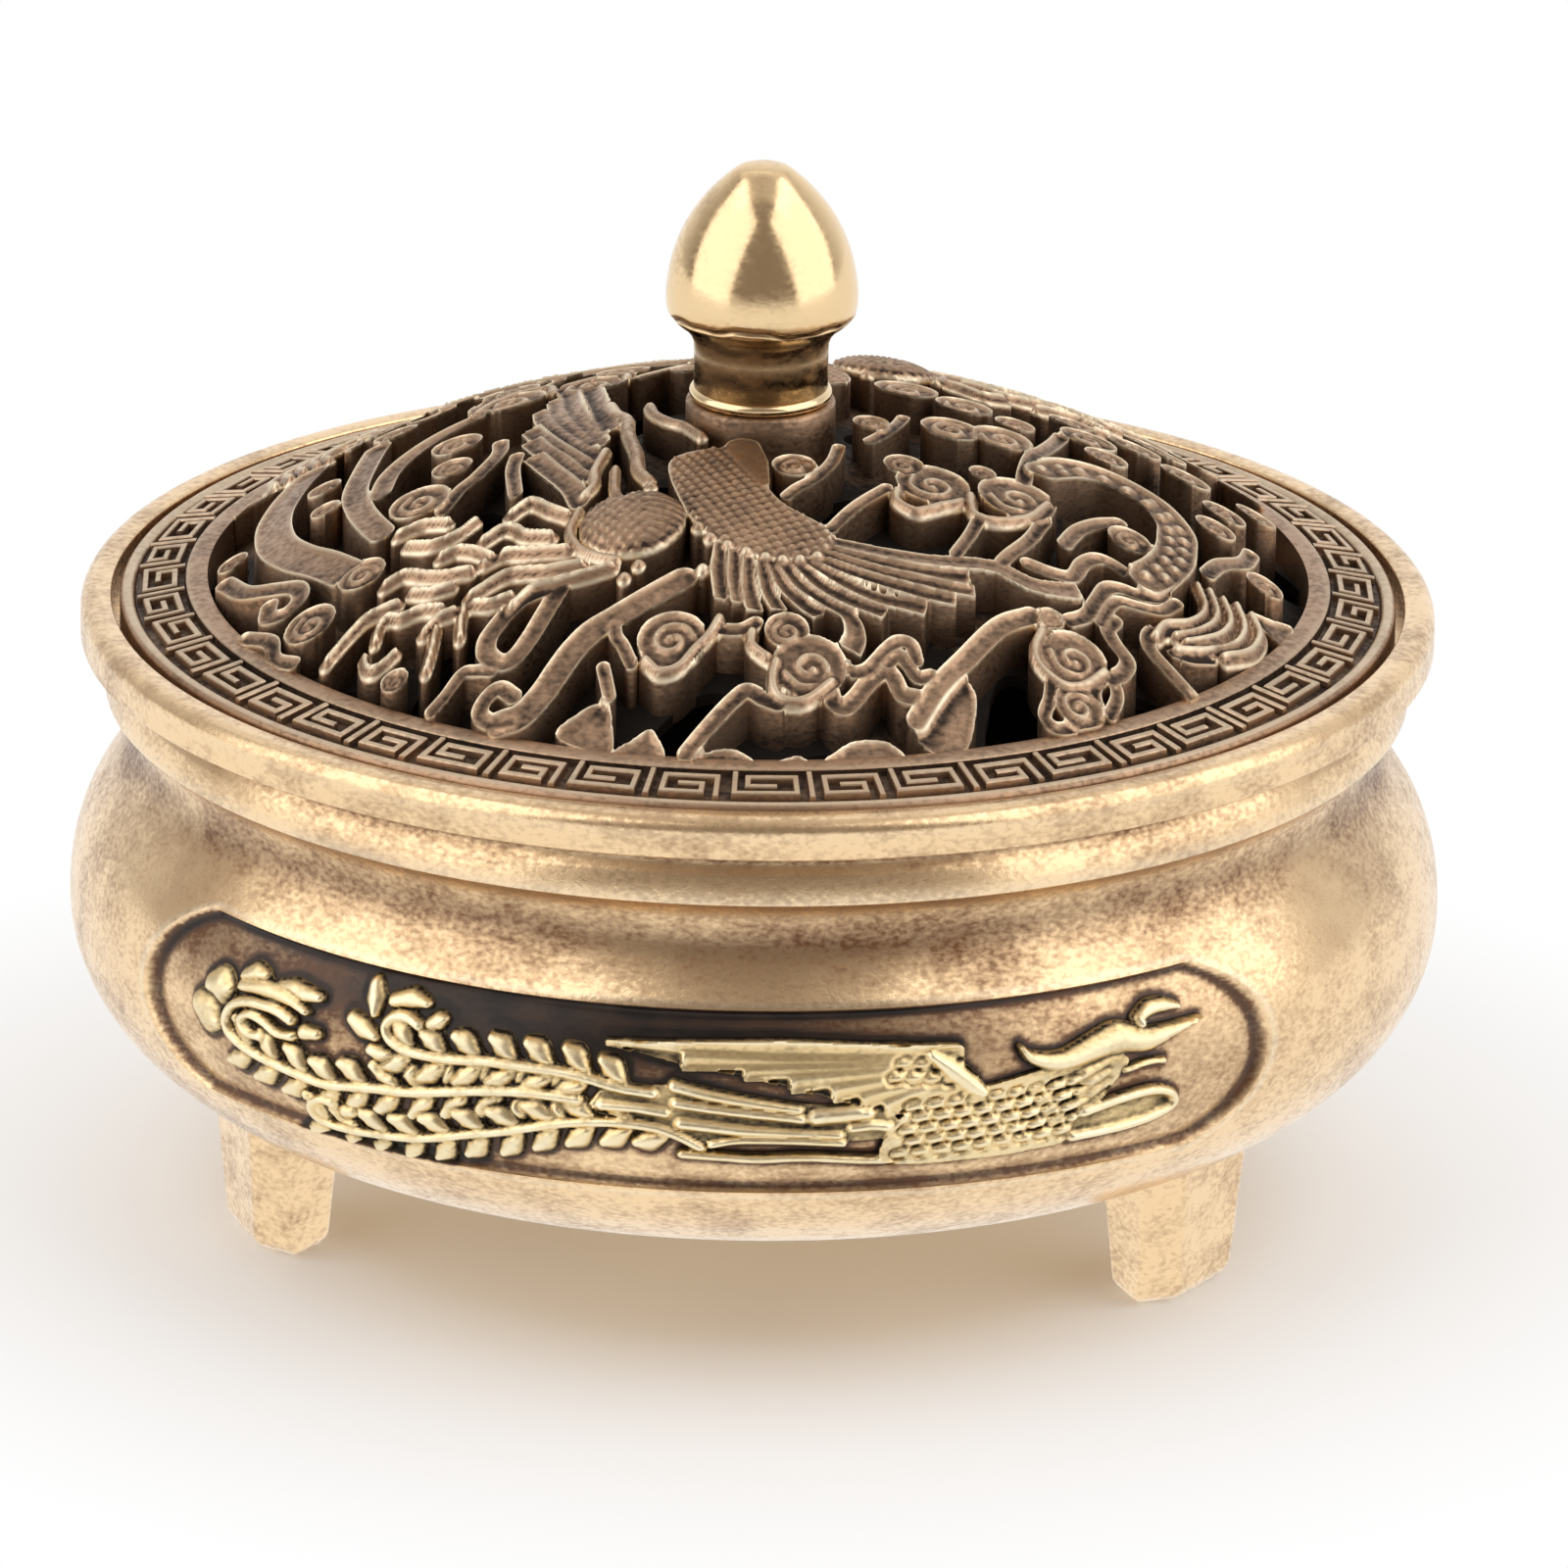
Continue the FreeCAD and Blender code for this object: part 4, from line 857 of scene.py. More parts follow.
def lid_forms():
    """The raised forms: a clipped height map on top, and walls down to the underside."""
    relief, radius = lid_grid(RELIEF_STEP)
    draw_lid(relief)
    relief.soften(SOFTENING)
    relief.rub(LID_RUB, LID_EDGE_WEAR)
    relief.wear_and_shading -= 0.1
    near_ring = np.clip((radius - FIELD_RADIUS + 0.5) / 0.4, 0, 1)
    relief.height -= near_ring * np.maximum(relief.height + 0.02, 0)
    relief.reach = np.minimum(relief.reach, FIELD_RADIUS + FIELD_OVERLAP - radius)
    top, wear_and_shading, faces, cuts = clipped_grid(relief, LID_EDGE_WEAR)
    top[:, 2] += dome_height(top[:, 0], top[:, 1])
    spots, low_faces, loop = flat_region(relief, top, cuts)
    rim = sorted(loop)
    edge = {a: len(top) + i for i, a in enumerate(rim)}
    shift = len(top) + len(rim)
    low = on_dome(spots, 0.1 - DOME_THICKNESS)
    vertices = np.vstack([top, top[rim] - (0, 0, WALL_EDGE), low])
    faces += [(b, a, edge[a], edge[b]) for a, b in cuts]
    faces += [(edge[b], edge[a], loop[a] + shift, loop[b] + shift) for a, b in cuts]
    faces += [[a + shift for a in face[::-1]] for face in low_faces]
    # Painted shade: the walls darken from their top edge down to the underside.
    wear_and_shading = np.concatenate([wear_and_shading, np.full(len(rim), -0.2), np.full(len(spots), -0.5)])
    turned_lid_piece("lid_relief", vertices, faces, wear_and_shading, lid_brass)


def lid_ground():
    """The sunk ground between the raised forms, with the smoke windows."""
    grid, radius = lid_grid(WINDOW_STEP)
    inside = FIELD_RADIUS + FIELD_OVERLAP - radius
    grid.reach = np.minimum(window_field(grid), inside)
    points, _, _, cuts = clipped_grid(grid, 0)
    spots, faces, loop = flat_region(grid, points, cuts)
    shift = len(spots)
    vertices = np.vstack([on_dome(spots, GROUND), on_dome(spots, -DOME_THICKNESS)])
    sides = [(loop[b], loop[a], loop[a] + shift, loop[b] + shift) for a, b in cuts]
    below = [[a + shift for a in face[::-1]] for face in faces]
    # Painted shade: the sunk ground is painted near black next to the windows, and its underside is darker.
    window_shade = blurred((grid.reach < 0) * (inside > 0), WINDOW_SHADE_SPREAD / WINDOW_STEP)
    places = np.rint((spots - grid.x[0, 0]) / WINDOW_STEP).astype(int)
    near_black = np.clip(4.0 * window_shade[places[:, 1], places[:, 0]], 0, 1)
    wear_and_shading = np.concatenate([-0.1 - 0.9 * near_black, np.full(shift, -0.6)])
    turned_lid_piece("lid_ground", vertices, faces + sides + below, wear_and_shading, shaded_ground_brass)


def rim_height(radius):
    """Top of the lid's sloping rim."""
    return FIELD_Z - (radius - FIELD_RADIUS) * RIM_SLOPE


def lid_rim():
    """Bead, fret channel, plain ring, the skirt that centres the lid, and the boss in the middle."""
    profile = [(37.54, SEAT_Z)] + arc((37.095, 36.61), 0.445, 0, 180, 10)
    profile += [(36.62, rim_height(CHANNEL_RADIUS) - CHANNEL_DEPTH)]
    profile += [(33.75, rim_height(33.69) - CHANNEL_DEPTH), (33.66, rim_height(33.69) - 0.1)]
    profile += arc((33.55, rim_height(33.6) - 0.12), 0.12, 10, 90, 4)
    profile += [(32.85, rim_height(32.85)), (32.4, rim_height(32.6) - 0.06), (32.29, 36.6)]
    profile += [(32.29, SKIRT_Z), (33.89, SKIRT_Z), (33.89, SEAT_Z), (37.54, SEAT_Z)]
    rim, faces = turned_mesh(profile, even_angles(360))
    wear_and_shading = np.zeros(rim.shape[:2])
    bead_rows, channel_rows, ring_rows = slice(4, 9), slice(11, 14), slice(15, 18)
    wear_and_shading[bead_rows] = 0.45
    wear_and_shading[channel_rows] = -0.55
    wear_and_shading[ring_rows] = 0.25
    profile = [(SCREW_HOLE, BOSS_BOTTOM), (4.4, BOSS_BOTTOM), (4.4, 47.5)]
    profile += arc((4.15, BOSS_TOP - 0.25), 0.25, 0, 90, 4)
    profile += [(SCREW_HOLE, BOSS_TOP), (SCREW_HOLE, BOSS_BOTTOM)]
    boss, boss_faces = turned_mesh(profile, even_angles(64))
    faces += [tuple(a + wear_and_shading.size for a in face) for face in boss_faces]
    vertices = np.vstack([rim.reshape(-1, 3), boss.reshape(-1, 3)])
    wear_and_shading = np.concatenate([wear_and_shading.ravel(), np.full(boss.size // 3, -0.1)])
    piece = make_piece("lid_rim", vertices, faces, "lid", lid_brass, wear_and_shading, sharp=40)
    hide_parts("lid")


FRET_REPEATS = 24
FRET_PHASE = math.radians(270 + 5.15)
FRET_RADIUS = 35.17     # middle of the channel
FRET_SPAN = 2.76        # drawing height, across the channel
FRET_HALF_WIDTH = 0.2
FRET_LINES = [
    [(0.0, 0.0), (0.0, 1.0)],
    [(0.42, 0.0), (0.42, 0.8), (0.09, 0.8), (0.09, 0.17), (0.33, 0.17), (0.33, 0.5), (0.18, 0.5)],
    [(0.53, 1.0), (0.53, 0.17), (0.91, 0.17), (0.91, 0.8), (0.61, 0.8), (0.61, 0.45), (0.79, 0.45)],
]


def fret_line(points, pitch):
    """Left and right edge of a line with square corners, in millimetres along and across."""
    path = np.array([(x * pitch, 0.1 + y * FRET_SPAN) for x, y in points])
    steps = np.diff(path, axis=0)
    steps /= np.linalg.norm(steps, axis=1)[:, None]
    normals = np.stack([-steps[:, 1], steps[:, 0]], 1)
    corners = np.vstack([normals[:1], normals[:-1] + normals[1:], normals[-1:]])
    return path + corners * FRET_HALF_WIDTH, path - corners * FRET_HALF_WIDTH


def fret_place(along, across, height):
    """A point of the fret in its channel, above the channel's floor."""
    radius = CHANNEL_RADIUS - across
    angle = FRET_PHASE + LID_TURN + along / FRET_RADIUS
    floor_z = rim_height(radius) - CHANNEL_DEPTH
    return radius * math.cos(angle), radius * math.sin(angle), floor_z + height


def key_fret():
    """Raised square spirals in the channel, alternately from the bead and from the plain ring."""
    pitch = 2 * math.pi * FRET_RADIUS / FRET_REPEATS
    sides = [(k, (k + 1) % 6, (k + 1) % 6 + 6, k + 6) for k in range(6)]
    vertices = []
    faces = []
    wear_and_shading = []
    for start in np.arange(FRET_REPEATS) * pitch:
        for points in FRET_LINES:
            first = len(vertices)
            for a, b in zip(*fret_line(points, pitch)):
                inset = (b - a) * 0.16
                section = [(a, -0.1), (a + inset * 0.3, 0.36), (a + inset, 0.45)]
                section += [(b - inset, 0.45), (b - inset * 0.3, 0.36), (b, -0.1)]
                vertices += [fret_place(start + place[0], place[1], height) for place, height in section]
                wear_and_shading += [-0.5, 0.15, 0.4, 0.4, 0.15, -0.5]
            for row in range(first, len(vertices) - 6, 6):
                faces += [tuple(row + k for k in side) for side in sides]
            faces.append(tuple(range(first + 5, first - 1, -1)))
            faces.append(tuple(range(len(vertices) - 6, len(vertices))))
    make_piece("key_fret", vertices, faces, "lid", lid_brass, wear_and_shading)


# Bowl

def belly_radius_at(height):
    """Outside of the belly: an ellipse below its widest line, two smooth runs above it."""
    height = np.asarray(height, float)
    drop = np.clip((BELLY_Z - height) / (BELLY_Z - BASE_Z), 0, 1)
    lower = BASE_RADIUS + (BELLY_RADIUS - BASE_RADIUS) * np.sqrt(1 - drop ** 2)

    def run(t, start, end, slope_start, slope_end):
        t = np.clip(t, 0, 1)
        return ((2 * t ** 3 - 3 * t ** 2 + 1) * start + (t ** 3 - 2 * t ** 2 + t) * slope_start
                + (3 * t ** 2 - 2 * t ** 3) * end + (t ** 3 - t ** 2) * slope_end)

    rise = SHOULDER[1] - BELLY_Z
    upper = run((height - BELLY_Z) / rise, BELLY_RADIUS, SHOULDER[0], 0, SHOULDER_SLOPE * rise)
    rise = NECK[1] - SHOULDER[1]
    neck = run((height - SHOULDER[1]) / rise, SHOULDER[0], NECK[0], SHOULDER_SLOPE * rise, 0)
    return np.where(height < BELLY_Z, lower, np.where(height < SHOULDER[1], upper, neck))


def panel_inside(angle, height):
    """Distance inside the nearer picture panel's outline, from the angle around the axis."""
    x = np.abs(BELLY_RADIUS * np.cos(angle))
    lift = height - PANEL_Z
    ends = PANEL_END_RADIUS - np.hypot(np.maximum(x - PANEL_END_CENTRE, 0), lift)
    return np.minimum(PANEL_HALF_HEIGHT - np.abs(lift), ends)


def bowl_profile():
    """Outside from the underside up, over the lip and down the inside, as (radius, height).

    Also gives the row where the neck's hollow starts, and the row where the inside starts."""
    low = [(BASE_RADIUS + 14 * math.sin(a), BELLY_Z - 10.9 * math.cos(a))
           for a in np.radians(np.arange(0, 56, 3))]
    fine = np.arange(low[-1][1] + 0.24, 26.2, 0.24)
    upper = np.arange(26.5, NECK[1], 0.35)
    outside = [(0.01, BASE_Z), (13.0, BASE_Z), (24.0, BASE_Z)] + low
    outside += [(float(belly_radius_at(z)), z) for z in np.concatenate([fine, upper])]
    hollow = [(38.39 - 1.65 * math.cos(a), NECK[1] + 2.2 * math.sin(a))
              for a in np.radians(np.arange(0, 84, 12))]
    band = [(38.2, 31.12)] + arc((38.2, 31.35), 0.2, -80, 10, 4) + [(38.0, 32.75)]
    cove = [(37.93, 32.95), (37.7, 33.3), (37.64, 33.65), (37.7, 34.05), (37.95, 34.42)]
    lip = [(39.6, 34.45)] + arc((39.66, 34.65), 0.2, -90, 0, 4) + arc((38.96, 36.0), 0.9, 0, 90, 8)
    step = arc((38.24, 36.7), 0.2, 90, 180, 4) + [(38.04, 35.0), (34.6, 35.0)]
    step += arc((34.59, 34.8), 0.2, 90, 180, 3)
    inside = [(34.39, 31.0), (34.39, 28.95), (34.0, 27.2), (35.49, 24.95), (36.9, 21.5), (37.29, 18.45),
              (36.9, 16.2), (35.6, 13.9), (33.0, 12.0), (29.8, 11.05), (26.49, 10.75), (14.0, 10.75),
              (0.01, 10.75)]
    skin = outside + hollow + band + cove + lip + step
    return skin + inside, len(outside), len(skin)


def bowl_columns():
    """Angles around the axis, close together across the two panels."""
    panel = np.radians(np.arange(-57, 57, 0.36))
    side = np.radians(np.arange(57, 123, 1.5))
    half = np.concatenate([panel, side])
    return np.concatenate([half, half + math.pi]) - math.pi / 2


def bump_at(value, place, width):
    """1 at a place, falling off to both sides."""
    return np.exp(-((value - place) / width) ** 2)


def bowl(bird):
    """The body with its two sunk panels, with painted shade on the ground around the birds."""
    profile, outside_rows, inside_row = bowl_profile()
    columns = bowl_columns()
    vertices, faces = turned_mesh(profile, columns)
    rows = slice(0, outside_rows)
    height = vertices[rows, :, 2]
    inside = panel_inside(columns[None], height)
    share = np.clip(inside / PANEL_WALL + 0.2, 0, 1)
    sink = PANEL_DEPTH * share ** 2 * (3 - 2 * share)
    radius = np.hypot(vertices[rows, :, 0], vertices[rows, :, 1])
    groove = 0.1 * bump_at(height, GROOVE_Z, 0.16) * (radius > 30)
    vertices[rows, :, :2] *= ((radius - sink - groove) / np.maximum(radius, 1))[..., None]
    wear_and_shading = bowl_wear_and_shading(vertices, inside, rows, inside_row)
    # Painted shade on the panel ground close around the bird's forms.
    along = BELLY_RADIUS * ((columns + math.pi) % math.pi - math.pi / 2)
    gap = -bird.reach_at(np.broadcast_to(along, height.shape), height)
    wear_and_shading[rows] -= np.where(inside > 0, 0.75 * bump_at(np.maximum(gap, 0), 0, 0.28), 0)
    wear_and_shading = np.clip(wear_and_shading, -1.2, 1)
    piece = make_piece("bowl_body", vertices, faces, "base", bowl_brass, wear_and_shading, sharp=50)
    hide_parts("bowl")


def bowl_wear_and_shading(vertices, inside, rows, inside_row):
    """Painted highlights on the lip and band edges, painted shade in the cove and the neck's hollow, a
    darker panel ground with painted shade under its top rim and in a line along its edge, a painted
    highlight around each panel, and the darkest value inside.
    """
    wear_and_shading = np.zeros(vertices.shape[:2])
    z = vertices[..., 2]
    outer = np.hypot(vertices[..., 0], vertices[..., 1]) > 36
    outer[inside_row:] = False
    wear_and_shading[inside_row:] = -1
    # Painted highlights on the band's edge and on the lip.
    wear_and_shading += 0.35 * bump_at(z, BAND_EDGE_Z, 0.3) * outer
    wear_and_shading += 0.35 * bump_at(z, LIP_Z, 0.8) * outer
    # Painted shade in the cove under the lip and in the neck's hollow under the band.
    wear_and_shading -= 0.5 * bump_at(z, COVE_Z, 0.6) * outer
    wear_and_shading -= 0.38 * bump_at(z, NECK[1] - 0.55, 1.8) * outer
    # Panel ground: a little darker all over, with painted shade under its top rim in the middle and in a
    # thin line along its edge.
    along = np.where(vertices[rows, :, 1] < 0, 1, -1) * vertices[rows, :, 0]
    middle = bump_at(along, -8, 22)
    ground = -0.12 - 0.85 * middle * np.clip((z[rows] - 19.5) / 3, 0, 1)
    ground -= 0.62 * bump_at(inside, 0.35, 0.26)
    wear_and_shading[rows] = np.where(inside > 0.0, ground, wear_and_shading[rows])
    # Painted highlight just outside the panel's edge.
    wear_and_shading[rows] += 0.35 * bump_at(inside, -0.3, 0.25)
    return wear_and_shading


# Bird on the picture panels: millimetres along the belly from the panel's middle, and height

PANEL_LEAVES = [
    (0.85, [(-31.6, 21), (-30.9, 21.1), (-30.2, 21.2)]),
    (0.9, [(-32.6, 19.6), (-31.8, 19.3), (-31, 19)]),
    (0.62, [(-28.8, 22.2), (-28.1, 22.4), (-27.3, 22.6)]),
    (0.5, [(-26.2, 22.2), (-24.8, 22.4), (-22.8, 22.5)]),
    (0.38, [(-29, 21.7), (-27, 22), (-25, 21.9), (-23.6, 21.5)]),
    (0.55, [(-23.6, 20.3), (-22.6, 20.4)]),
    (0.5, [(-19.1, 24), (-18.9, 23.3), (-18.7, 22.5)]),
    (0.48, [(-20.2, 21.9), (-19.4, 21.5), (-18.4, 21.2)]),
    (0.4, [(-18.7, 20.4), (-18, 20.3), (-17.4, 20.4)]),
    (0.45, [(-17.6, 23.4), (-16.4, 23.7), (-15.3, 23.6)]),
    (0.42, [(-14.9, 22.6), (-14.4, 22.8), (-14, 23)]),
    (0.55, [(-20.6, 16.1), (-20, 16.2)]),
]
PANEL_SHAFTS = [
    (0.45, [(-24.6, 20.8), (-26, 21.1), (-28, 21), (-29.4, 20.5), (-30, 19.6), (-29.7, 18.8), (-28.6, 18.3),
            (-27, 18), (-25, 17.8), (-22, 17.6), (-20, 17.9), (-18, 18.2), (-16, 18.4), (-14, 18.8),
            (-12, 19.2), (-10, 19.5), (-8, 19.65), (-5.4, 19.6)]),
    (0.4, [(-26.9, 19.2), (-28.2, 19.2), (-28.7, 19.8), (-28, 20.3), (-26.8, 20.2), (-25.6, 19.8),
           (-24.4, 19.9)]),
    (0.45, [(-15.6, 22.4), (-16.4, 22.7), (-17.3, 22.6), (-17.8, 22), (-17.4, 21.3), (-16.4, 20.9),
            (-15, 20.8), (-13, 20.9), (-11, 21.1), (-9, 21.1), (-7, 21.1), (-5, 20.9), (-3, 20.5),
            (-1, 20.3)]),
    (0.42, [(-21.4, 16.5), (-22.4, 16.5), (-23.2, 15.9), (-23, 15.2), (-22, 14.9), (-20.4, 14.9),
            (-18.4, 15.1), (-16, 15.4), (-14, 15.9), (-12, 16.5), (-10, 17), (-8, 17.6), (-6, 18.1),
            (-3.5, 18.4), (-1, 18.3), (0.6, 17.8), (1.9, 17.1)]),
    (0.45, [(-4, 19.4), (-2, 19.4), (-0.2, 19.2)]),
    (0.5, [(0.2, 20.8), (2, 20.4), (5, 19.9), (7.4, 19.5)]),
    (0.42, [(0.3, 19.8), (3, 19.5), (6, 19.2), (7.7, 19)]),
    (0.5, [(0.6, 18.6), (2, 18.5), (5, 18.2), (8, 18), (9.8, 17.9)]),
    (0.36, [(2.4, 17.4), (4, 17.7), (7, 17.7), (10, 17.5)]),
    (0.4, [(0.7, 16.7), (3, 16.6), (5, 16.5), (8, 16.6), (12, 16.3), (16, 16.3), (20, 16.4), (24, 16.6)]),
    (0.7, [(8.4, 19.1), (9.6, 19.2), (11.4, 19.3)]),
    (0.45, [(10.5, 18.4), (11.6, 18.5), (12.6, 18.4)]),
]
LEAF_PITCH = 2.3
WING = [
    (-3.9, 23.1), (2, 23.3), (9, 23.2), (15, 22.9), (18.3, 20.3), (14, 19.1), (9.3, 20.2), (4.2, 21.5),
    (0.4, 22),
]
WING_TIPS = [
    (-3.9, 23), (0.6, 22.3), (4.2, 21.8), (6.9, 21.1), (9.3, 20.5), (11, 20), (12.4, 19.5), (13.6, 19.2),
]
COVERTS = [
    (-4, 20), (0.4, 20.8), (7.6, 19.9), (12.4, 19.4), (12.8, 17.8), (7, 17.5), (2.2, 17.4), (-1, 18.4),
]
BODY = [
    (12.4, 16.2), (13.2, 18.8), (16, 19.9), (19, 20.4), (22, 20.9), (25, 21.4), (27.6, 20.7), (26.4, 19.2),
    (24.8, 17.6), (24, 16.3), (18, 15.9),
]
HEAD = [
    (20.7, 22.3), (21.4, 21.6), (23.2, 21.2), (25.2, 21.6), (27, 21.9), (29, 21.5), (31, 21.7), (33.1, 22),
]
HEAD_WIDTHS = [0.15, 0.4, 0.6, 0.8, 0.95, 0.75, 0.4, 0.1]
FOOT_CURL = [
    (24.6, 17.9), (27, 18.3), (29.2, 18.4), (30.6, 18), (30.9, 17.3), (29.8, 16.8), (27.6, 16.5),
    (24, 16.4),
]


def plume_leaves(relief, shaft, first, length):
    """Leaves in pairs along a shaft, from a distance on, that lean towards its curled end."""
    step = 0.1
    path, _ = smooth_path(shaft, 0, step=step)
    heading = np.gradient(path, axis=0)
    heading /= np.linalg.norm(heading, axis=1)[:, None]
    for i in range(int(first / step), len(path) - 4, int(LEAF_PITCH / step)):
        back = -heading[i]
        for side in (np.array((-back[1], back[0])), np.array((back[1], -back[0]))):
            root = path[i] + 0.3 * side
            tip = root + length * (0.8 * back + 0.6 * side)
            leaf = [root, (root + tip) / 2 + 0.15 * side, tip]
            relief.strand(leaf, [0.5, 0.82, 0.4], level=0.32, rise=0.6)


def scale_mark(relief, x, y):
    """The cut line around the tip of one scale."""
    tip = [(0.45, 0.4), (-0.2, 0.32), (-0.5, 0), (-0.2, -0.32), (0.45, -0.3)]
    relief.ridge([(x + dx, y + dy) for dx, dy in tip], 0.14, -0.3)


def draw_plumes(relief):
    """Three curled plumes with leaves, and the plain shafts of tail and wing."""
    for shaft, first, length in ((0, 8.5, 1.8), (2, 4.6, 1.7), (3, 3.4, 1.7)):
        plume_leaves(relief, PANEL_SHAFTS[shaft][1], first, length)
    for half_width, points in PANEL_LEAVES:
        taper = np.interp(np.linspace(0, 1, len(points)), [0, 0.4, 1], [0.65, 1.0, 0.45])
        relief.strand(points, 1.65 * half_width * taper, level=0.3, rise=0.55)
    relief.plate(COVERTS, level=0.3, rim=0.0)
    for half_width, points in PANEL_SHAFTS:
        relief.strand(points, 0.85 * half_width, level=0.42, rise=0.5)


def draw_wing(relief):
    """Feathers that fan out to the left from one root, with scales over it."""
    relief.plate(WING, level=0.1, rim=0.0)
    for k, (x, y) in reversed(list(enumerate(WING_TIPS))):
        root = (16.8, 22.5 - 0.28 * k)
        middle = ((x + root[0]) / 2, (y + root[1]) / 2 + 0.2)
        tip_width = 0.6 if k else 0.2
        relief.shingle([root, middle, (x, y)], [0.4, 0.6, tip_width], level=0.45, tilt=0.35)
    for row in range(2):
        for k in range(4):
            scale_mark(relief, 13.0 + 1.1 * k + 0.5 * row, 21.2 + 0.75 * row - 0.1 * k)


def draw_body(relief):
    """Scaled body, neck lines, head with crest and eye, and the curled foot."""
    relief.plate(BODY, level=0.5, rim=0.0)
    for row in range(5):
        for k in range(9):
            x = 13.2 + 1.25 * k + 0.62 * (row % 2) + 0.2 * row
            scale_mark(relief, x, 16.6 + 0.72 * row + 0.04 * k)
    for k in range(4):
        line = [(20.6, 17.0 + 0.8 * k), (23.4, 17.8 + 0.8 * k), (26.4, 19.2 + 0.6 * k)]
        relief.ridge(line, 0.15, -0.25)
    wing_root = [(15.2, 22.4), (16.4, 21.5), (17.6, 20.5), (18.3, 20.0)]
    relief.strand(wing_root, [0.3, 0.6, 0.6, 0.3], level=0.6, rise=0.4)
    relief.strand(HEAD, HEAD_WIDTHS, level=0.55, rise=0.5)
    head_crest = [(28.6, 22.7), (29.5, 23.1), (30.6, 23.1), (31.6, 22.9)]
    relief.strand(head_crest, [0.4, 0.5, 0.45, 0.2], level=0.45, rise=0.5)
    relief.bead(28.7, 22.5, 0.3, rise=0.4, level=0.6)
    relief.strand([(27.4, 19.9), (29.0, 20.1), (30.2, 20.0)], 0.25, level=0.3, rise=0.4)
    relief.plate(FOOT_CURL, level=0.25, rim=0.0)
    relief.strand(FOOT_CURL, 0.36, level=0.42, rise=0.5)


def panel_relief():
    """A bird that flies to the right, with its plumes behind it."""
    relief = Relief(np.arange(-35, 35, RELIEF_STEP), np.arange(13.6, 25.2, RELIEF_STEP), 0)
    draw_plumes(relief)
    draw_wing(relief)
    draw_body(relief)
    relief.soften(SOFTENING)
    relief.rub(PANEL_RUB)
    return relief


def panel_bird(name, relief, turn):
    """The relief of one panel, bent round the belly."""
    top, wear_and_shading, faces, cuts = clipped_grid(relief, BIRD_EDGE_SHADE)
    rim = cut_ends(cuts)
    low = {a: len(top) + i for i, a in enumerate(rim)}
    points = np.vstack([top, top[rim]])
    points[:len(top), 2] = np.maximum(points[:len(top), 2], BIRD_LOWEST)
    points[len(top):, 2] = BIRD_ROOT
    faces += [(b, a, low[a], low[b]) for a, b in cuts]
    angle = points[:, 0] / BELLY_RADIUS + turn
    radius = belly_radius_at(points[:, 1]) - PANEL_DEPTH + points[:, 2]
    vertices = np.stack([radius * np.sin(angle), -radius * np.cos(angle), points[:, 1]], 1)
    # The bird's walls are painted darker down to black at their root: painted shade.
    wear_and_shading = np.concatenate([np.clip(wear_and_shading + 0.15, -1, 1), np.full(len(rim), -1.0)])
    make_piece(name, vertices, faces, "base", relief_brass, wear_and_shading, sharp=70)


FOOT_OUTER = 31.89
FOOT_INNER = 27.49
FOOT_FACE = 2.8         # half width of the outer face
FOOT_HALF_WIDTH = 4.8
FOOT_CORNER = 1.5
FOOT_LEVELS = [(0, -0.6), (0.6, 0), (4.6, 0.3), (9.2, 0.68)]    # height, and growth on every side


def foot_ring(height, grow):
    """One level of a foot that stands out along +X."""
    outer = FOOT_OUTER + grow
    inner = FOOT_INNER - grow
    face = FOOT_FACE + grow
    half = FOOT_HALF_WIDTH + grow
    flank = outer - FOOT_CORNER
    back = half - FOOT_CORNER
    corners = [(outer, -face), (outer, face), (flank, half), (inner, back), (inner, -back), (flank, -half)]
    return [(x, y, height) for x, y in corners]


def foot(name, degrees):
    """A tapered block with softened edges that ends inside the bowl's wall."""
    points = np.vstack([foot_ring(*level) for level in FOOT_LEVELS])
    x, y = turned(points[:, 0], points[:, 1], math.radians(degrees))
    vertices = np.stack([x, y, points[:, 2]], 1)
    faces = [tuple(range(5, -1, -1)), tuple(range(18, 24))] + ring_faces(4, 6)
    piece = make_piece(name + "_body", vertices, faces, "base", bowl_brass)
    bevel = piece.modifiers.new("softened", "BEVEL")
    bevel.width = 0.35 * MM
    bevel.segments = 3
    bevel.limit_method = "ANGLE"
    bevel.angle_limit = math.radians(20)
    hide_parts(name)


# Finial

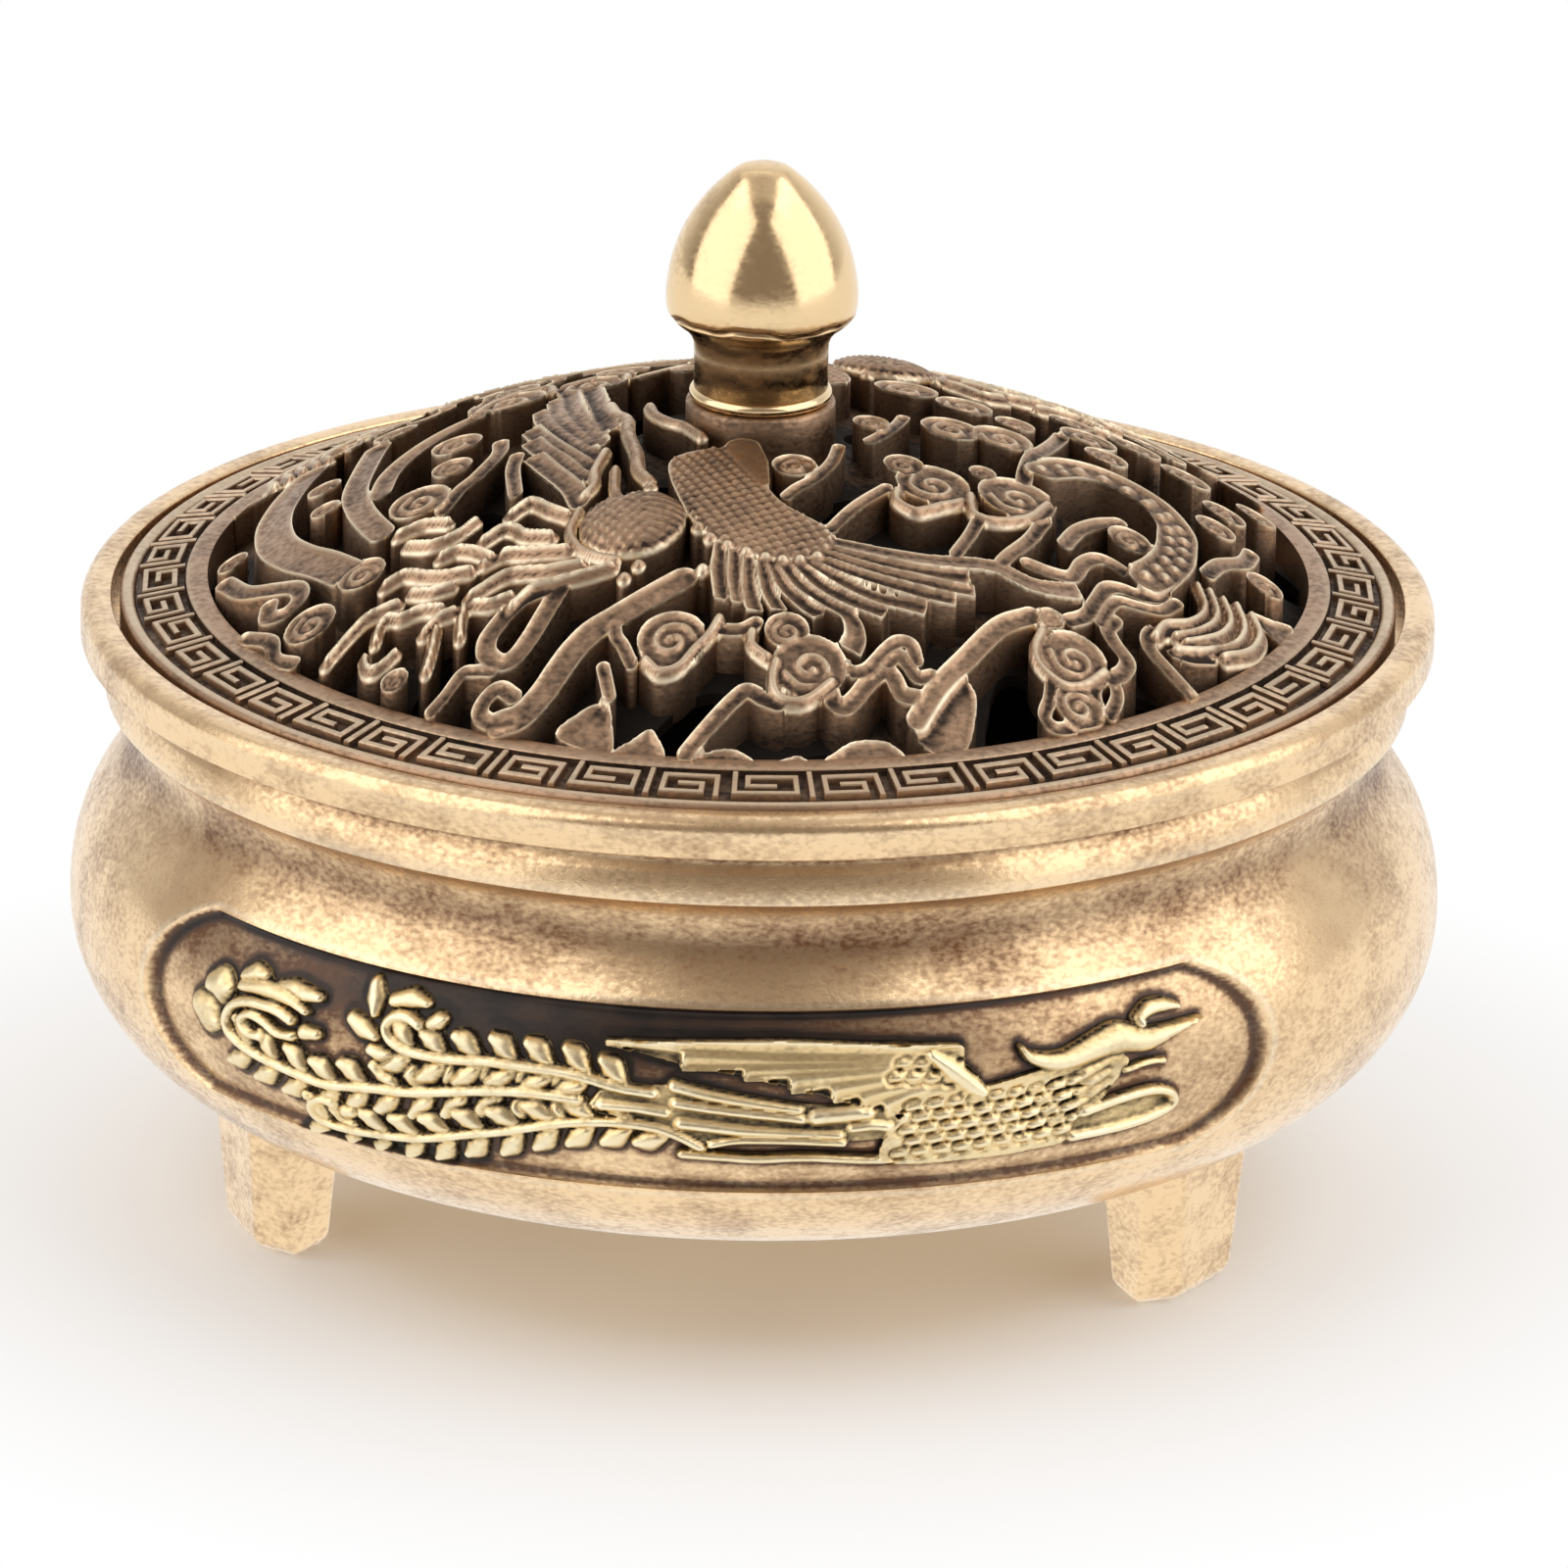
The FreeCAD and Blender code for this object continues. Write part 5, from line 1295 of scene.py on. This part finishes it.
def finial():
    """Neck, flare and blunt bud, with an uneven crease where the bud's lower edge was finished by hand."""
    profile = [(0.01, COLLAR_TOP), (3.94, COLLAR_TOP), (3.94, 51.9), (3.98, 52.5), (4.2, 53.0)]
    profile += [(4.6, 53.45), (5.1, 53.82), (5.36, 54.08)]
    profile += [(5.38 + 0.27 * math.sin(a), 54.1 + 1.33 * (1 - math.cos(a)))
                for a in np.radians(np.arange(6, 90, 6))]
    wide = np.array((5.65, 55.43))
    along = np.array((2.0, 62.65)) - wide
    outwards = np.array((along[1], -along[0])) / np.linalg.norm(along)
    bulge = 0.87
    profile += [tuple(wide + along * t + outwards * bulge * 4 * t * (1 - t)) for t in np.linspace(0, 1, 26)]
    profile += [(1.75, 62.86), (1.45, 63.05), (1.0, 63.2), (0.5, 63.27), (0.01, 63.28)]
    columns = even_angles(160)
    vertices, faces = turned_mesh(profile, columns)
    z = vertices[..., 2]
    wave = 0.16 * np.sin(3 * columns + 0.6) + 0.12 * np.sin(7 * columns) + 0.05 * np.sin(17 * columns)
    crease = bump_at(z, 54.4 + wave, 0.13)
    radius = np.hypot(vertices[..., 0], vertices[..., 1])
    vertices[..., :2] *= ((radius - 0.14 * crease) / radius)[..., None]
    neck_top = 53.5
    wear_and_shading = -0.7 * crease - 0.48 * (z < neck_top)
    piece = make_piece("finial_body", vertices, faces, "lid", polished_brass, wear_and_shading,
                       sharp=ALL_SMOOTH)
    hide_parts("finial")


def collar():
    """The half-round ring between the boss and the finial."""
    half = (COLLAR_TOP - BOSS_TOP) / 2
    profile = [(SCREW_HOLE, BOSS_TOP)] + arc((3.8, BOSS_TOP + half), half, -90, 90, 12)
    profile += [(SCREW_HOLE, COLLAR_TOP), (SCREW_HOLE, BOSS_TOP)]
    vertices, faces = turned_mesh(profile, even_angles(96))
    wear_and_shading = np.full(vertices.shape[:2], 0.3)
    piece = make_piece("collar_ring", vertices, faces, "lid", polished_brass, wear_and_shading,
                       sharp=ALL_SMOOTH)
    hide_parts("finial_collar")


# Pieces inside

def dress_inner_pieces():
    """Small turned pieces keep their CAD shape and get a finish."""
    steel = plain_steel()
    finishes = {"finial_washer": steel, "finial_screw": steel, "heat_pad": matted_fibre(),
                "stand_plate": stand_brass, "stand_pin": stand_brass}
    for name, material in finishes.items():
        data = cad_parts[name].data
        data.materials.clear()
        data.materials.append(material)


# Studio

def floor():
    """White table: it shows the object's shadow close by, and turns to plain white further out."""
    mesh = bpy.data.meshes.new("floor")
    mesh.from_pydata([(-3, -3, 0), (3, -3, 0), (3, 3, 0), (-3, 3, 0)], [], [(0, 1, 2, 3)])
    plane = add_object("floor", mesh)
    material, tree, shader = new_material("white_table")
    feed(tree, shader, {"Base Color": (0.93, 0.93, 0.93, 1), "Roughness": 0.6})
    place = add_node(tree, "ShaderNodeTexCoord").outputs["Object"]
    reach = add_node(tree, "ShaderNodeVectorMath", {0: place}, operation="LENGTH").outputs["Value"]
    rays = add_node(tree, "ShaderNodeLightPath")
    far = spread(tree, reach, 0.025, 0.066)
    seen = math_node(tree, "MULTIPLY", far, rays.outputs["Is Camera Ray"])
    seen = math_node(tree, "MAXIMUM", seen, rays.outputs["Is Glossy Ray"])
    white = add_node(tree, "ShaderNodeEmission").outputs[0]
    both = add_node(tree, "ShaderNodeMixShader", {0: seen, 1: shader.outputs[0], 2: white}).outputs[0]
    feed(tree, tree.nodes["Material Output"], {"Surface": both})
    mesh.materials.append(material)


def softbox(name, place, width, height, power):
    """A rectangular lamp that is aimed at the middle of the object."""
    light = bpy.data.lights.new(name, "AREA")
    light.shape = "RECTANGLE"
    light.size = width
    light.size_y = height
    light.energy = power
    lamp = add_object(name, light)
    lamp.location = place
    aim = Vector((0, 0, 30 * MM)) - Vector(place)
    lamp.rotation_euler = aim.to_track_quat("-Z", "Y").to_euler()


def studio():
    """White behind the object, a dim room behind the camera, and a tall softbox at each side of it."""
    world = bpy.data.worlds.new("studio")
    bpy.context.scene.world = world
    world.use_nodes = True
    tree = world.node_tree
    background = tree.nodes["Background"]
    direction = add_node(tree, "ShaderNodeTexCoord").outputs["Generated"]
    parts = add_node(tree, "ShaderNodeSeparateXYZ", {0: direction})
    front = spread(tree, parts.outputs["Y"], 0.1, 0.95, 1.0, 0.0)
    seen = mix(tree, front, (1, 1, 1, 1), (0.27, 0.235, 0.21, 1))
    camera_ray = add_node(tree, "ShaderNodeLightPath").outputs["Is Camera Ray"]
    feed(tree, background, {"Color": mix(tree, camera_ray, seen, (1, 1, 1, 1)), "Strength": 1.0})
    softbox("left_softbox", (-0.60, -0.34, 0.48), width=1.0, height=1.1, power=4.6)
    softbox("right_softbox", (0.66, -0.14, 0.48), width=1.0, height=1.1, power=4.6)
    softbox("top_softbox", (0.0, 0.15, 0.85), width=1.3, height=0.9, power=1.2)


def camera():
    """Long lens from a little above; focal length and centre are in pixels of a square picture."""
    picture = 1600
    focal = 15559.2
    centre_x = 772.0
    centre_y = 707.8
    distance = 900 * MM
    elevation = 0.338768
    roll = 0.013788
    aim_z = 30.5 * MM
    data = bpy.data.cameras.new("camera")
    data.sensor_width = 36
    data.lens = focal / picture * data.sensor_width
    data.shift_x = (picture / 2 - centre_x) / picture
    data.shift_y = (centre_y - picture / 2) / picture
    data.clip_start = 0.05
    data.clip_end = 20
    eye = add_object("camera", data)
    x, y = turned(0, -distance * math.cos(elevation), LID_TURN)
    eye.location = (x, y, aim_z + distance * math.sin(elevation))
    look = (Vector((0, 0, aim_z)) - eye.location).to_track_quat("-Z", "Y")
    eye.rotation_euler = (look @ Euler((0, 0, roll)).to_quaternion()).to_euler()
    bpy.context.scene.camera = eye


bird = panel_relief()
bowl(bird)
panel_bird("bird_front", bird, 0.0)
panel_bird("bird_rear", bird, math.pi)
foot("foot_front_left", 206.5)
foot("foot_front_right", 333.5)
foot("foot_rear", 90)
lid_rim()
lid_ground()
lid_forms()
key_fret()
collar()
finial()
dress_inner_pieces()
floor()
studio()
camera()
bpy.context.scene.view_settings.view_transform = "Standard"
